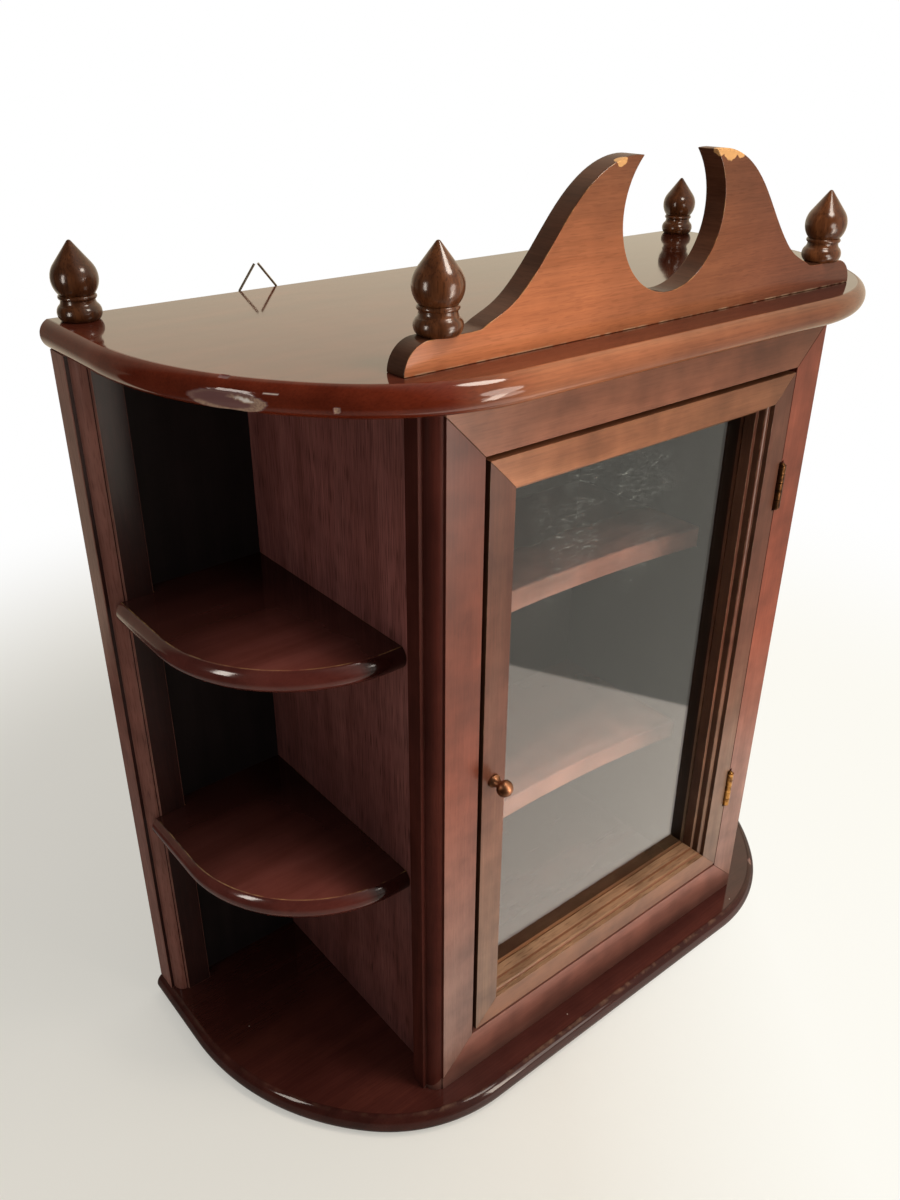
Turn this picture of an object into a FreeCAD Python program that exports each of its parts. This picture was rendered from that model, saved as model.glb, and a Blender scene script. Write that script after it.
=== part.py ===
import FreeCAD, Part
import os
import math

# Wall curio cabinet. Millimetres, +Z up, front towards -Y, +X to the right.
# The origin is the centre of the underside of the bottom board.

# Top and bottom boards
boardWidth = 434.0          # over the rounded edges
boardDepth = 193.4
boardThickness = 13.0
boardNose = 4.2             # how far the rounded edge stands out
boardCornerAcross = 116.0   # run of a front corner's curve along the front
boardCornerDeep = 140.0     # and along the side
clearHeight = 393.5         # between the two boards

# Face frame
frontOverhang = 18.6        # front of the boards to the face frame
frameWidth = 272.0
frameMember = 29.2          # width of a stile
frameDepth = 16.0
railBottomHeight = 29.2
railTopHeight = 25.0

# Rounded corner with a step at each side, on the stiles and the back posts
cornerRadius = 6.0
cornerSideStep = 2.4        # step that faces the front
cornerFaceStep = 1.2        # step that faces the side

# Back posts, back panel and side panels
postWidth = 22.6
postDepth = 22.0
postInset = 3.2             # side of a post behind the side of the boards
backRecess = 8.0            # front of a post to the front of the back panel
backThickness = 4.0
backTongue = 5.0            # how far the panel runs into a post's groove
sideThickness = 6.0
sideSetback = 10.0          # side of the frame to the outside of a side panel
sideTongue = 4.0            # how far a side panel runs into a stile's groove
grooveClearance = 0.15

# Shelves inside the cabinet
innerShelfThickness = 13.5
innerShelfUpperTop = 254.3  # above the bottom board
innerShelfLowerTop = 110.2
innerShelfFront = 58.5      # face frame to the ends of the front edge
innerShelfHollow = 9.0      # how far the middle of the front edge is set back
innerShelfHousing = 1.5     # depth of the slot in a side panel
innerShelfArris = 1.2       # rounding of the front edge

# Quarter-round shelves at the sides
quarterThickness = 11.5
quarterNose = 3.4
quarterUpperTop = 272.3     # above the bottom board
quarterLowerTop = 137.0
quarterSideInset = 5.2      # side of the boards to the side of a shelf
quarterFront = 29.6         # face frame to the front of a shelf
quarterFlat = 6.8           # straight part of a shelf's front, next to the side panel
quarterBradLength = 12.0

# Pediment
pedimentThickness = 11.0
pedimentSetback = 3.2       # face frame to its front
pedimentHalfLength = 145.0
shoulderHeight = 12.2
shoulderMargin = 0.5        # flat of the shoulder beyond a finial's bulge
hornTipX = 23.0
hornRise = 0.12             # slope of the horn's top at its tip
eyeRadius = 32.8            # round opening between the horns
eyeHeight = 46.0
pedimentDowelRadius = 3.0
pedimentDowelDepth = 8.0
pedimentDowelSpacing = 92.0

# Turned finials
finialHeight = 33.7
finialBulbRadius = 10.1
finialTipRound = 1.2
finialBulgeRadius = 9.6
finialFootRadius = 7.9
finialNeckRadius = 7.5
finialRingProud = 0.8       # thin ring beyond the neck
finialTenonRadius = 3.0
finialTenonLength = 7.0
frontFinialRoom = 8.2       # end of the pediment's flat shoulder to the axis of a finial
backFinialInset = 15.6      # side of the boards to the axis of a back finial
backFinialSetback = 10.6    # back of the boards to the same axis

# Door
doorGapLeft = 2.0
doorGapRight = 1.2
doorGapTop = 2.2
doorGapBottom = 3.0
doorProud = 0.6             # front of the door in front of the face frame
doorThickness = 17.8
doorFlat = 14.6             # flat part of a door member
quirkDepth = 2.7            # drop at the inner edge of the flat
beadWidth = 2.5
beadFall = 1.0              # how far the bead slopes down towards the glass
beadCrown = 0.45            # swell of the bead above that slope
filletDepth = 7.4           # face of the inner fillet behind the front
filletWidth = 2.3
glassThickness = 2.0
stopThickness = 2.0         # strips behind the glass
stopMargin = 0.6            # how much narrower a strip is than its rabbet
rabbetWidth = 5.0
glassClearance = 0.4

# Knob and its screw
knobHeight = 202.0          # above the bottom board
knobHeadRadius = 4.4
knobFootRadius = 3.6
knobNeckRadius = 2.0
knobLength = 12.0
knobScrewRadius = 1.3
knobScrewHead = 2.6
knobScrewHeadHeight = 1.6
screwClearance = 0.05

# Butt hinges
hingeLength = 24.5
hingeInset = 51.0           # end of the door to the end of a hinge
leafWidth = 11.0
leafThickness = 1.0
leafGap = 0.3
barrelRadius = 2.1
barrelProud = 1.2           # hinge axis in front of the face frame
hingePinRadius = 0.9
pinClearance = 0.05
knuckleCount = 5
knuckleGap = 0.3
knuckleRelief = 0.4
hingeScrewRadius = 0.9
hingeScrewHead = 1.7
hingeScrewLength = 8.0

# Magnetic catch
catchOverlap = 9.0          # how far the magnet block reaches behind the door
catchPlate = 2.6            # thickness of the foot plate
catchHeight = 38.0
catchRound = 1.0
catchDepth = 12.0
strikeThickness = 1.0
strikeWidth = 11.0
strikeHeight = 26.0
strikeInset = 1.2           # edge of the door to the strike
strikeScrewRadius = 1.0
strikeScrewHead = 1.9
strikeScrewLength = 7.0
catchGap = 0.4
catchScrewRadius = 1.2
catchScrewHead = 2.3
catchScrewHeadHeight = 1.2
catchScrewLength = 4.5

# Hangers on the back edge of the top board
hangerX = 105.8
ringWire = 0.6              # radius of the wire
ringWidth = 24.5
ringHeight = 14.6
ringBend = 1.6              # radius of its lower bends
ringDrop = 2.2              # top of the board to the lower wire of a ring
ringTipGap = 0.9
strapWidth = 9.0
strapThickness = 0.8
strapFoot = 0.6             # underside of the board to the end of a strap
strapSeat = 0.05            # gap between the rolled end and the board
hangerScrewRadius = 1.0
hangerScrewHead = 1.9
hangerScrewHeadHeight = 0.9
hangerScrewLength = 9.0

# Hidden fixings
baseScrewRadius = 1.7
baseScrewHead = 3.4
baseScrewLength = 34.0
screwSink = 0.6             # depth of a base screw's head below the underside
topDowelRadius = 3.0
topDowelDepth = 8.0
dowelCover = 1.0            # wood left between a top dowel and a finial's tenon
pedimentCover = 3.0         # wood left above a pediment dowel
bradRadius = 0.7
bradHead = 1.4
bradHeadHeight = 0.6
bradLength = 9.0
bradSink = 0.5              # how deep a shelf brad is driven into the side panel

# Derived positions
halfWidth = boardWidth / 2
backY = boardDepth / 2
frontY = -boardDepth / 2
frameY = frontY + frontOverhang
frameBackY = frameY + frameDepth
floorZ = boardThickness
ceilingZ = floorZ + clearHeight
topZ = ceilingZ + boardThickness
frameHalf = frameWidth / 2
openingHalf = frameHalf - frameMember
openingBottom = floorZ + railBottomHeight
openingTop = ceilingZ - railTopHeight
postOuterX = halfWidth - postInset
postInnerX = postOuterX - postWidth
postFrontY = backY - postDepth
backPanelY = postFrontY + backRecess
sideOuterX = frameHalf - sideSetback
sideInnerX = sideOuterX - sideThickness
doorLeft = -openingHalf + doorGapLeft
doorRight = openingHalf - doorGapRight
doorBottom = openingBottom + doorGapBottom
doorTop = openingTop - doorGapTop
doorY = frameY - doorProud
doorBackY = doorY + doorThickness
doorMember = doorFlat + beadWidth + filletWidth
glassSetback = doorThickness - glassThickness - stopThickness
hingeX = openingHalf - doorGapRight / 2
hingeY = frameY - barrelProud
hingeStarts = {"upper": doorTop - hingeInset - hingeLength, "lower": doorBottom + hingeInset}
knobX = doorLeft + doorFlat / 2
knobZ = floorZ + knobHeight
pedimentY = frameY + pedimentSetback
pedimentMidY = pedimentY + pedimentThickness / 2
frontFinialX = pedimentHalfLength - shoulderHeight - frontFinialRoom
shoulderStartX = frontFinialX - finialBulgeRadius - shoulderMargin
ringLoopRadius = ringWire + pinClearance + strapThickness
ringY = backY + strapSeat + ringLoopRadius
ringZ = topZ - ringDrop
topDowelReach = min(topDowelDepth, boardThickness - finialTenonLength - dowelCover)
catchY = doorBackY + strikeThickness + catchGap


def vec(x, y, z):
    return FreeCAD.Vector(x, y, z)


def box(x0, x1, y0, y1, z0, z1):
    return Part.makeBox(x1 - x0, y1 - y0, z1 - z0, vec(x0, y0, z0))


def rod(radius, start, end):
    return Part.makeCylinder(radius, (end - start).Length, start, end - start)


def faceOf(points):
    # Closed outline; a point that repeats the one before it is left out.
    kept = [p for i, p in enumerate(points) if p.distanceToPoint(points[i - 1]) > 1e-6]
    return Part.Face(Part.makePolygon(kept + [kept[0]]))


def mirrored(shape):
    return shape.mirror(vec(0, 0, 0), vec(1, 0, 0))


def save(shape, node):
    shape.exportStep("parts/" + node + ".step")


def group(shapes):
    return Part.makeCompound(shapes)


def roundedSlab(path, closing, outward, thickness, nose):
    # A flat slab whose open edge, the path, carries a convex nose swept along it.
    core = Part.Face(Part.Wire(path + closing)).extrude(vec(0, 0, thickness))
    start = path[0].firstVertex().Point
    upper = start + vec(0, 0, thickness)
    middle = start + outward * nose + vec(0, 0, thickness / 2)
    section = Part.Wire([Part.Arc(start, middle, upper).toShape(), Part.makeLine(upper, start)])
    edge = Part.Wire(path).makePipeShell([section], True, False)
    return core.fuse(edge).removeSplitter()


def boardBlank(z0):
    side = halfWidth - boardNose
    front = frontY + boardNose
    bend = frontY + boardCornerDeep
    flat = halfWidth - boardCornerAcross

    across = side - flat
    deep = bend - front
    turn = math.pi / 4
    knee = math.sin(turn)
    # Two tangent arcs turn the corner, 45 degrees each: a wide one, then a closer one.
    wide = (deep - across * (1 - knee) / knee) / (1 - (1 - knee) / knee)
    close = (across - wide * (1 - knee)) / knee

    def corner(sign):
        def onArc(centreX, centreY, radius, angle):
            return vec(sign * (centreX + radius * math.cos(angle)),
                       centreY - radius * math.sin(angle), z0)

        sideEnd = onArc(side - wide, bend, wide, 0)
        sideMid = onArc(side - wide, bend, wide, turn / 2)
        joint = onArc(side - wide, bend, wide, turn)
        frontMid = onArc(flat, front + close, close, turn * 1.5)
        frontEnd = onArc(flat, front + close, close, turn * 2)
        first = Part.Arc(sideEnd, sideMid, joint).toShape()
        second = Part.Arc(joint, frontMid, frontEnd).toShape()
        return [first, second]

    path = [Part.makeLine(vec(-side, backY, z0), vec(-side, bend, z0))]
    path += corner(-1)
    path += [Part.makeLine(vec(-flat, front, z0), vec(flat, front, z0))]
    path += corner(1)[::-1]
    path += [Part.makeLine(vec(side, bend, z0), vec(side, backY, z0))]
    closing = [Part.makeLine(vec(side, backY, z0), vec(-side, backY, z0))]
    return roundedSlab(path, closing, vec(-1, 0, 0), boardThickness, boardNose)


def supportPoints():
    # Where the posts and the stiles are fixed to the boards.
    postX = (postOuterX + postInnerX) / 2
    stileX = openingHalf + frameMember / 2
    postY = backY - (postDepth - backRecess - backThickness) / 2
    stileY = frameY + (frameDepth - sideTongue) / 2
    return [(-postX, postY), (postX, postY), (-stileX, stileY), (stileX, stileY)]


def baseScrews(clearance):
    screws = []
    for x, y in supportPoints():
        cone = Part.makeCone(baseScrewHead + clearance, baseScrewRadius + clearance,
                             baseScrewHead, vec(x, y, screwSink))
        shank = rod(baseScrewRadius + clearance, vec(x, y, screwSink), vec(x, y, baseScrewLength))
        screws.append(cone.fuse(shank))
    return screws


def topDowels(clearance):
    return [rod(topDowelRadius + clearance,
                vec(x, y, ceilingZ - topDowelDepth - clearance),
                vec(x, y, ceilingZ + topDowelReach + clearance)) for x, y in supportPoints()]


def pedimentDowels(clearance):
    spots = [-pedimentDowelSpacing, 0.0, pedimentDowelSpacing]
    reach = min(pedimentDowelDepth, min(shoulderHeight, eyeHeight - eyeRadius) - pedimentCover)
    return [rod(pedimentDowelRadius + clearance,
                vec(x, pedimentMidY, topZ - pedimentDowelDepth - clearance),
                vec(x, pedimentMidY, topZ + reach + clearance)) for x in spots]


def finialSpots():
    backX = halfWidth - backFinialInset
    backSpotY = backY - backFinialSetback
    shoulderZ = topZ + shoulderHeight
    return {
        "finial_front_left": vec(-frontFinialX, pedimentMidY, shoulderZ),
        "finial_front_right": vec(frontFinialX, pedimentMidY, shoulderZ),
        "finial_back_left": vec(-backX, backSpotY, topZ),
        "finial_back_right": vec(backX, backSpotY, topZ),
    }


def finialSocket(spot):
    depth = finialTenonLength + 0.5
    return rod(finialTenonRadius + screwClearance, spot - vec(0, 0, depth), spot)


def finial(spot):
    # Turned profile: tenon, foot with a bulge and a hollow, thin ring, bulb drawn to a point.
    h = finialHeight
    neck = finialNeckRadius
    bulb = finialBulbRadius
    hollow = (neck + finialBulgeRadius) / 2
    seat = neck + finialRingProud * 0.6
    bulbZ = h * 0.53
    tipZ = h - finialTipRound
    below = math.acos(seat / bulb)
    waist = bulbZ - bulb * math.sin(below)
    # The straight side of the point touches the round bulb and the rounded tip.
    lean = math.asin((bulb - finialTipRound) / (tipZ - bulbZ))

    def at(r, z):
        return vec(r, 0, z)

    def onBall(radius, z, angle):
        return at(radius * math.cos(angle), z + radius * math.sin(angle))

    def ballArc(radius, z, start, end):
        return Part.Arc(onBall(radius, z, start), onBall(radius, z, (start + end) / 2),
                        onBall(radius, z, end)).toShape()

    foot = Part.Arc(at(finialFootRadius, 0), at(finialBulgeRadius, waist * 0.29),
                    at(hollow, waist * 0.55)).toShape()
    cove = Part.Arc(at(hollow, waist * 0.55), at(neck + (hollow - neck) * 0.32, waist * 0.62),
                    at(neck, waist * 0.73)).toShape()
    ring = Part.Arc(at(neck, waist * 0.78), at(neck + finialRingProud, waist * 0.87),
                    at(neck, waist * 0.96)).toShape()
    low = -finialTenonLength
    edges = [foot, cove, Part.makeLine(at(neck, waist * 0.73), at(neck, waist * 0.78)), ring,
             Part.makeLine(at(neck, waist * 0.96), at(seat, waist)),
             ballArc(bulb, bulbZ, -below, lean),
             Part.makeLine(onBall(bulb, bulbZ, lean), onBall(finialTipRound, tipZ, lean)),
             ballArc(finialTipRound, tipZ, lean, math.pi / 2)]
    edges += polyline([at(0, h), at(0, low), at(finialTenonRadius, low), at(finialTenonRadius, 0),
                       at(finialFootRadius, 0)])
    turned = Part.Face(Part.Wire(edges)).revolve(vec(0, 0, 0), vec(0, 0, 1), 360)
    turned.translate(spot)
    return turned


def hangerScrew(x, clearance):
    z = (ceilingZ + strapFoot + ringZ - ringLoopRadius) / 2
    face = backY + strapThickness
    shank = rod(hangerScrewRadius + clearance, vec(x, face, z), vec(x, backY - hangerScrewLength, z))
    head = Part.makeCylinder(hangerScrewHead, hangerScrewHeadHeight, vec(x, face, z), vec(0, 1, 0))
    return shank, head


def hangerStrap(x):
    # A flat strap on the board's back edge, its top rolled round the ring's lower wire.
    half = strapWidth / 2
    plate = box(x - half, x + half, backY, backY + strapThickness, ceilingZ + strapFoot, ringZ)
    left = vec(x - half, ringY, ringZ)
    right = vec(x + half, ringY, ringZ)
    loop = rod(ringLoopRadius, left, right)
    shank, head = hangerScrew(x, screwClearance)
    strap = plate.fuse(loop).cut(rod(ringWire + pinClearance, left, right))
    return strap.cut(shank).removeSplitter()


def hangerRing(x):
    # One wire bent to a triangle, its ends nearly meeting at the top.
    half = ringWidth / 2
    tipZ = ringZ + ringHeight
    slope = math.atan2(ringHeight, half)
    reach = ringBend * math.tan((math.pi - slope) / 2)
    lowLeft = vec(x - half, ringY, ringZ)
    lowRight = vec(x + half, ringY, ringZ)
    upLeft = vec(math.cos(slope), 0, math.sin(slope))
    upRight = vec(-math.cos(slope), 0, math.sin(slope))
    tipLeft = vec(x - ringTipGap / 2 - ringWire, ringY, tipZ - ringWire)
    tipRight = vec(x + ringTipGap / 2 + ringWire, ringY, tipZ - ringWire)
    a = lowLeft + upLeft * reach
    b = lowLeft + vec(reach, 0, 0)
    c = lowRight - vec(reach, 0, 0)
    d = lowRight + upRight * reach

    def bendArc(start, corner, end):
        inward = (start + end) * 0.5 - corner
        centre = corner + inward.normalize() * math.hypot(ringBend, reach)
        middle = centre + (corner - centre).normalize() * ringBend
        return Part.Arc(start, middle, end).toShape()

    path = Part.Wire([Part.makeLine(tipLeft, a), bendArc(a, lowLeft, b), Part.makeLine(b, c),
                      bendArc(c, lowRight, d), Part.makeLine(d, tipRight)])
    circle = Part.Wire(Part.makeCircle(ringWire, tipLeft, a - tipLeft))
    return path.makePipeShell([circle], True, False)


def bottomBoard():
    board = boardBlank(0)
    for screw in baseScrews(screwClearance):
        board = board.cut(screw)
    for x, y in supportPoints():
        board = board.cut(rod(baseScrewHead + screwClearance, vec(x, y, -1), vec(x, y, screwSink)))
    return board


def topBoard():
    board = boardBlank(ceilingZ)
    for dowel in topDowels(screwClearance) + pedimentDowels(screwClearance):
        board = board.cut(dowel)
    for node, spot in finialSpots().items():
        if "back" in node:
            board = board.cut(finialSocket(spot))
    for x in (-hangerX, hangerX):
        shank, head = hangerScrew(x, screwClearance)
        board = board.cut(shank)
    return board


def cornerOutline(sideX, faceY):
    # Left front corner of a post or stile: step, quarter round, step.
    r = cornerRadius
    a = vec(sideX, faceY + cornerFaceStep + r, 0)
    b = vec(sideX + cornerSideStep, faceY + cornerFaceStep + r, 0)
    c = vec(sideX + cornerSideStep + r, faceY + cornerFaceStep, 0)
    d = vec(sideX + cornerSideStep + r, faceY, 0)
    centre = vec(sideX + cornerSideStep + r, faceY + cornerFaceStep + r, 0)
    middle = centre + vec(-1, -1, 0).normalize() * r
    return a, d, [Part.makeLine(a, b), Part.Arc(b, middle, c).toShape(), Part.makeLine(c, d)]


def polyline(points):
    return [Part.makeLine(p, q) for p, q in zip(points, points[1:])]


def backPost():
    a, d, corner = cornerOutline(-postOuterX, postFrontY)
    rest = polyline([d, vec(-postInnerX, postFrontY, 0), vec(-postInnerX, backY, 0),
                     vec(-postOuterX, backY, 0), a])
    post = Part.Face(Part.Wire(corner + rest)).extrude(vec(0, 0, clearHeight))
    post.translate(vec(0, 0, floorZ))
    groove = box(-postInnerX - backTongue, -postInnerX + 1, backPanelY - grooveClearance,
                 backPanelY + backThickness + grooveClearance, floorZ, ceilingZ)
    post = post.cut(groove)
    for fixing in baseScrews(screwClearance) + topDowels(screwClearance):
        post = post.cut(fixing)
    return post


def backPanel():
    half = postInnerX + backTongue - grooveClearance
    return box(-half, half, backPanelY, backPanelY + backThickness, floorZ, ceilingZ)


def innerShelfTops():
    return {"upper": floorZ + innerShelfUpperTop, "lower": floorZ + innerShelfLowerTop}


def innerShelf(top):
    # The front edge is one arc, hollow towards the middle.
    half = sideInnerX + innerShelfHousing - grooveClearance
    front = frameY + innerShelfFront
    z0 = top - innerShelfThickness
    a = vec(-half, front, z0)
    b = vec(half, front, z0)
    edges = [Part.Arc(a, vec(0, front + innerShelfHollow, z0), b).toShape()]
    edges += polyline([b, vec(half, backPanelY, z0), vec(-half, backPanelY, z0), a])
    shelf = Part.Face(Part.Wire(edges)).extrude(vec(0, 0, innerShelfThickness))
    bowed = [e for e in shelf.Edges
             if abs(e.BoundBox.YMin - front) < 0.01 and e.BoundBox.XLength > half]
    return shelf.makeFillet(innerShelfArris, bowed)


def sidePanel():
    front = frameBackY - sideTongue + grooveClearance
    panel = box(-sideOuterX, -sideInnerX, front, backPanelY, floorZ, ceilingZ)
    for top in innerShelfTops().values():
        housing = box(-sideInnerX - innerShelfHousing, -sideInnerX + 1,
                      frameY + innerShelfFront, backPanelY + 1,
                      top - innerShelfThickness, top)
        panel = panel.cut(housing)
    for brad in quarterBrads():
        panel = panel.cut(brad)
    catch = catchScrews(screwClearance)
    return panel, catch


def quarterTops():
    return {"upper": floorZ + quarterUpperTop, "lower": floorZ + quarterLowerTop}


def quarterShelf(top):
    side = -(halfWidth - quarterSideInset - quarterNose)
    front = frameY + quarterFront + quarterNose
    radius = -sideOuterX - side - quarterFlat
    z0 = top - quarterThickness
    knee = radius * math.sqrt(0.5)
    a = vec(side, postFrontY, z0)
    b = vec(side, front + radius, z0)
    c = vec(side + radius, front, z0)
    d = vec(-sideOuterX, front, z0)
    middle = vec(side + radius - knee, front + radius - knee, z0)
    path = [Part.makeLine(a, b), Part.Arc(b, middle, c).toShape(), Part.makeLine(c, d)]
    closing = polyline([d, vec(-sideOuterX, backPanelY, z0), vec(-postInnerX, backPanelY, z0),
                        vec(-postInnerX, postFrontY, z0), a])
    shelf = roundedSlab(path, closing, vec(-1, 0, 0), quarterThickness, quarterNose)
    for brad in quarterBrads():
        shelf = shelf.cut(brad)
    return shelf


def quarterBrads():
    # Two headless brads from inside the cabinet hold each left shelf.
    brads = []
    span = backPanelY - frameY - quarterFront
    for top in quarterTops().values():
        for part in (0.35, 0.8):
            y = frameY + quarterFront + span * part
            z = top - quarterThickness / 2
            start = vec(-sideInnerX - bradSink, y, z)
            brads.append(rod(bradRadius, start, start - vec(quarterBradLength, 0, 0)))
    return brads


def pedimentBoard():
    # Swan-neck outline: rounded shoulder, one flowing curve up to the horn, round eye between.
    y = pedimentY
    L = pedimentHalfLength
    tipZ = eyeHeight + math.sqrt(max(eyeRadius ** 2 - hornTipX ** 2, 1.0))
    end = shoulderHeight

    def at(x, z):
        return vec(x, y, topZ + z)

    rise = tipZ - shoulderHeight
    run = shoulderStartX - hornTipX

    def along(part, up):
        return at(hornTipX + run * part, shoulderHeight + rise * up)

    curve = Part.BSplineCurve()
    curve.interpolate(Points=[at(hornTipX, tipZ), along(0.204, 0.954), along(0.388, 0.758),
                              along(0.545, 0.47), along(0.675, 0.239), along(0.79, 0.104),
                              along(0.90, 0.026), at(shoulderStartX, shoulderHeight)],
                      InitialTangent=vec(1, 0, hornRise), FinalTangent=vec(1, 0, 0))
    knee = end * math.sqrt(0.5)
    half = [curve.toShape(),
            Part.makeLine(at(shoulderStartX, end), at(L - end, end)),
            Part.Arc(at(L - end, end), at(L - end + knee, knee), at(L, 0)).toShape()]
    other = [e.mirror(vec(0, 0, 0), vec(1, 0, 0)) for e in half]
    eye = Part.Arc(at(-hornTipX, tipZ), at(0, eyeHeight - eyeRadius), at(hornTipX, tipZ)).toShape()
    base = Part.makeLine(at(-L, 0), at(L, 0))
    outline = Part.Wire(Part.__sortEdges__(half + other + [eye, base]))
    board = Part.Face(outline).extrude(vec(0, pedimentThickness, 0))
    for dowel in pedimentDowels(screwClearance):
        board = board.cut(dowel)
    for node, spot in finialSpots().items():
        if "front" in node:
            board = board.cut(finialSocket(spot))
    return board


def frameBlank():
    # The whole face frame in one piece, with its opening, before the mitres are cut.
    a, d, left = cornerOutline(-frameHalf, frameY)
    right = [e.mirror(vec(0, 0, 0), vec(1, 0, 0)) for e in left]
    ra = vec(-a.x, a.y, 0)
    rd = vec(-d.x, d.y, 0)
    rest = [Part.makeLine(d, rd)] + polyline([ra, vec(frameHalf, frameBackY, 0),
                                              vec(-frameHalf, frameBackY, 0), a])
    outline = Part.Wire(Part.__sortEdges__(left + right + rest))
    blank = Part.Face(outline).extrude(vec(0, 0, clearHeight))
    blank.translate(vec(0, 0, floorZ))
    opening = box(-openingHalf, openingHalf, frameY - 1, frameBackY + 1, openingBottom, openingTop)
    blank = blank.cut(opening)
    for sign in (-1, 1):
        x0, x1 = sorted((sign * (sideInnerX - grooveClearance), sign * (sideOuterX + grooveClearance)))
        blank = blank.cut(box(x0, x1, frameBackY - sideTongue, frameBackY + 1, floorZ, ceilingZ))
    for fixing in baseScrews(screwClearance) + topDowels(screwClearance):
        blank = blank.cut(fixing)
    return blank


def framePieces():
    blank = frameBlank()
    topRun = min(railTopHeight, frameMember)
    lowRun = min(railBottomHeight, frameMember)

    def at(x, z):
        return vec(x, frameY - 1, z)

    def cut(points):
        return blank.common(faceOf(points).extrude(vec(0, frameDepth + 2, 0)))

    inUp = openingTop
    inLow = openingBottom
    outUp = -openingHalf - topRun
    outLow = -openingHalf - lowRun
    stileUp = [at(outUp, inUp + topRun)]
    if topRun < frameMember:
        stileUp = [at(-frameHalf, ceilingZ), at(outUp, ceilingZ)]
    stileLow = [at(outLow, inLow - lowRun)]
    if lowRun < frameMember:
        stileLow = [at(outLow, floorZ), at(-frameHalf, floorZ)]
    stile = cut(stileUp + [at(-openingHalf, inUp), at(-openingHalf, inLow)] + stileLow)
    top = cut([at(-openingHalf, inUp), at(outUp, inUp + topRun), at(outUp, ceilingZ),
               at(-outUp, ceilingZ), at(-outUp, inUp + topRun), at(openingHalf, inUp)])
    bottom = cut([at(-openingHalf, inLow), at(openingHalf, inLow), at(-outLow, inLow - lowRun),
                  at(-outLow, floorZ), at(outLow, floorZ), at(outLow, inLow - lowRun)])
    return stile, mirrored(stile), top, bottom


def doorPiece(length):
    # One mitred member lying along X: moulded section, outer edge down, front at y = 0.
    w = doorMember
    z1 = doorFlat
    z2 = z1 + beadWidth
    high = quirkDepth
    low = quirkDepth + beadFall
    back = doorThickness

    def at(y, z):
        return vec(0, y, z)

    # Steps fall towards the glass: a quirk, a sloping bead, a fillet, then the wall to the rabbet.
    crown = at((high + low) / 2 - beadCrown, (z1 + z2) / 2)
    bead = Part.Arc(at(high, z1), crown, at(low, z2)).toShape()
    edges = polyline([at(0, 0), at(0, z1), at(high, z1)])
    edges += [bead]
    edges += polyline([at(low, z2), at(filletDepth, z2), at(filletDepth, w), at(glassSetback, w),
                       at(glassSetback, w - rabbetWidth), at(back, w - rabbetWidth),
                       at(back, 0), at(0, 0)])
    bar = Part.Face(Part.Wire(edges)).extrude(vec(length, 0, 0))
    mitre = faceOf([vec(0, -1, 0), vec(length, -1, 0), vec(length - w, -1, w), vec(w, -1, w)])
    return bar.common(mitre.extrude(vec(0, back + 2, 0)))


def doorFrame():
    width = doorRight - doorLeft
    height = doorTop - doorBottom
    bottom = doorPiece(width)
    bottom.translate(vec(doorLeft, doorY, doorBottom))
    top = doorPiece(width)
    top.rotate(vec(0, 0, 0), vec(0, 1, 0), 180)
    top.translate(vec(doorRight, doorY, doorTop))
    left = doorPiece(height)
    left.rotate(vec(0, 0, 0), vec(0, 1, 0), 90)
    left.translate(vec(doorLeft, doorY, doorTop))
    right = doorPiece(height)
    right.rotate(vec(0, 0, 0), vec(0, 1, 0), -90)
    right.translate(vec(doorRight, doorY, doorBottom))
    return left, right, top, bottom


def rabbetBounds():
    inset = doorMember - rabbetWidth
    return doorLeft + inset, doorRight - inset, doorBottom + inset, doorTop - inset


def doorGlass():
    x0, x1, z0, z1 = rabbetBounds()
    c = glassClearance
    y = doorY + glassSetback
    return box(x0 + c, x1 - c, y, y + glassThickness, z0 + c, z1 - c)


def glassStops():
    # Four mitred strips behind the glass, flush with the back of the door.
    x0, x1, z0, z1 = rabbetBounds()
    w = rabbetWidth - stopMargin
    y0 = doorY + glassSetback + glassThickness
    deep = vec(0, doorBackY - y0, 0)

    def strip(points):
        return faceOf([vec(x, y0, z) for x, z in points]).extrude(deep)

    return {
        "glass_stop_left": strip([(x0, z0), (x0 + w, z0 + w), (x0 + w, z1 - w), (x0, z1)]),
        "glass_stop_right": strip([(x1, z0), (x1, z1), (x1 - w, z1 - w), (x1 - w, z0 + w)]),
        "glass_stop_top": strip([(x0, z1), (x0 + w, z1 - w), (x1 - w, z1 - w), (x1, z1)]),
        "glass_stop_bottom": strip([(x0, z0), (x1, z0), (x1 - w, z0 + w), (x0 + w, z0 + w)]),
    }


def knobScrew(clearance):
    # Countersunk from the back of the door into the knob's neck.
    start = vec(knobX, doorBackY, knobZ)
    tip = vec(knobX, doorY - knobLength * 0.55 - clearance, knobZ)
    shank = rod(knobScrewRadius + clearance, start, tip)
    head = Part.makeCone(knobScrewHead + clearance, knobScrewRadius + clearance, knobScrewHeadHeight,
                         start, vec(0, -1, 0))
    return shank.fuse(head).removeSplitter()


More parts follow.
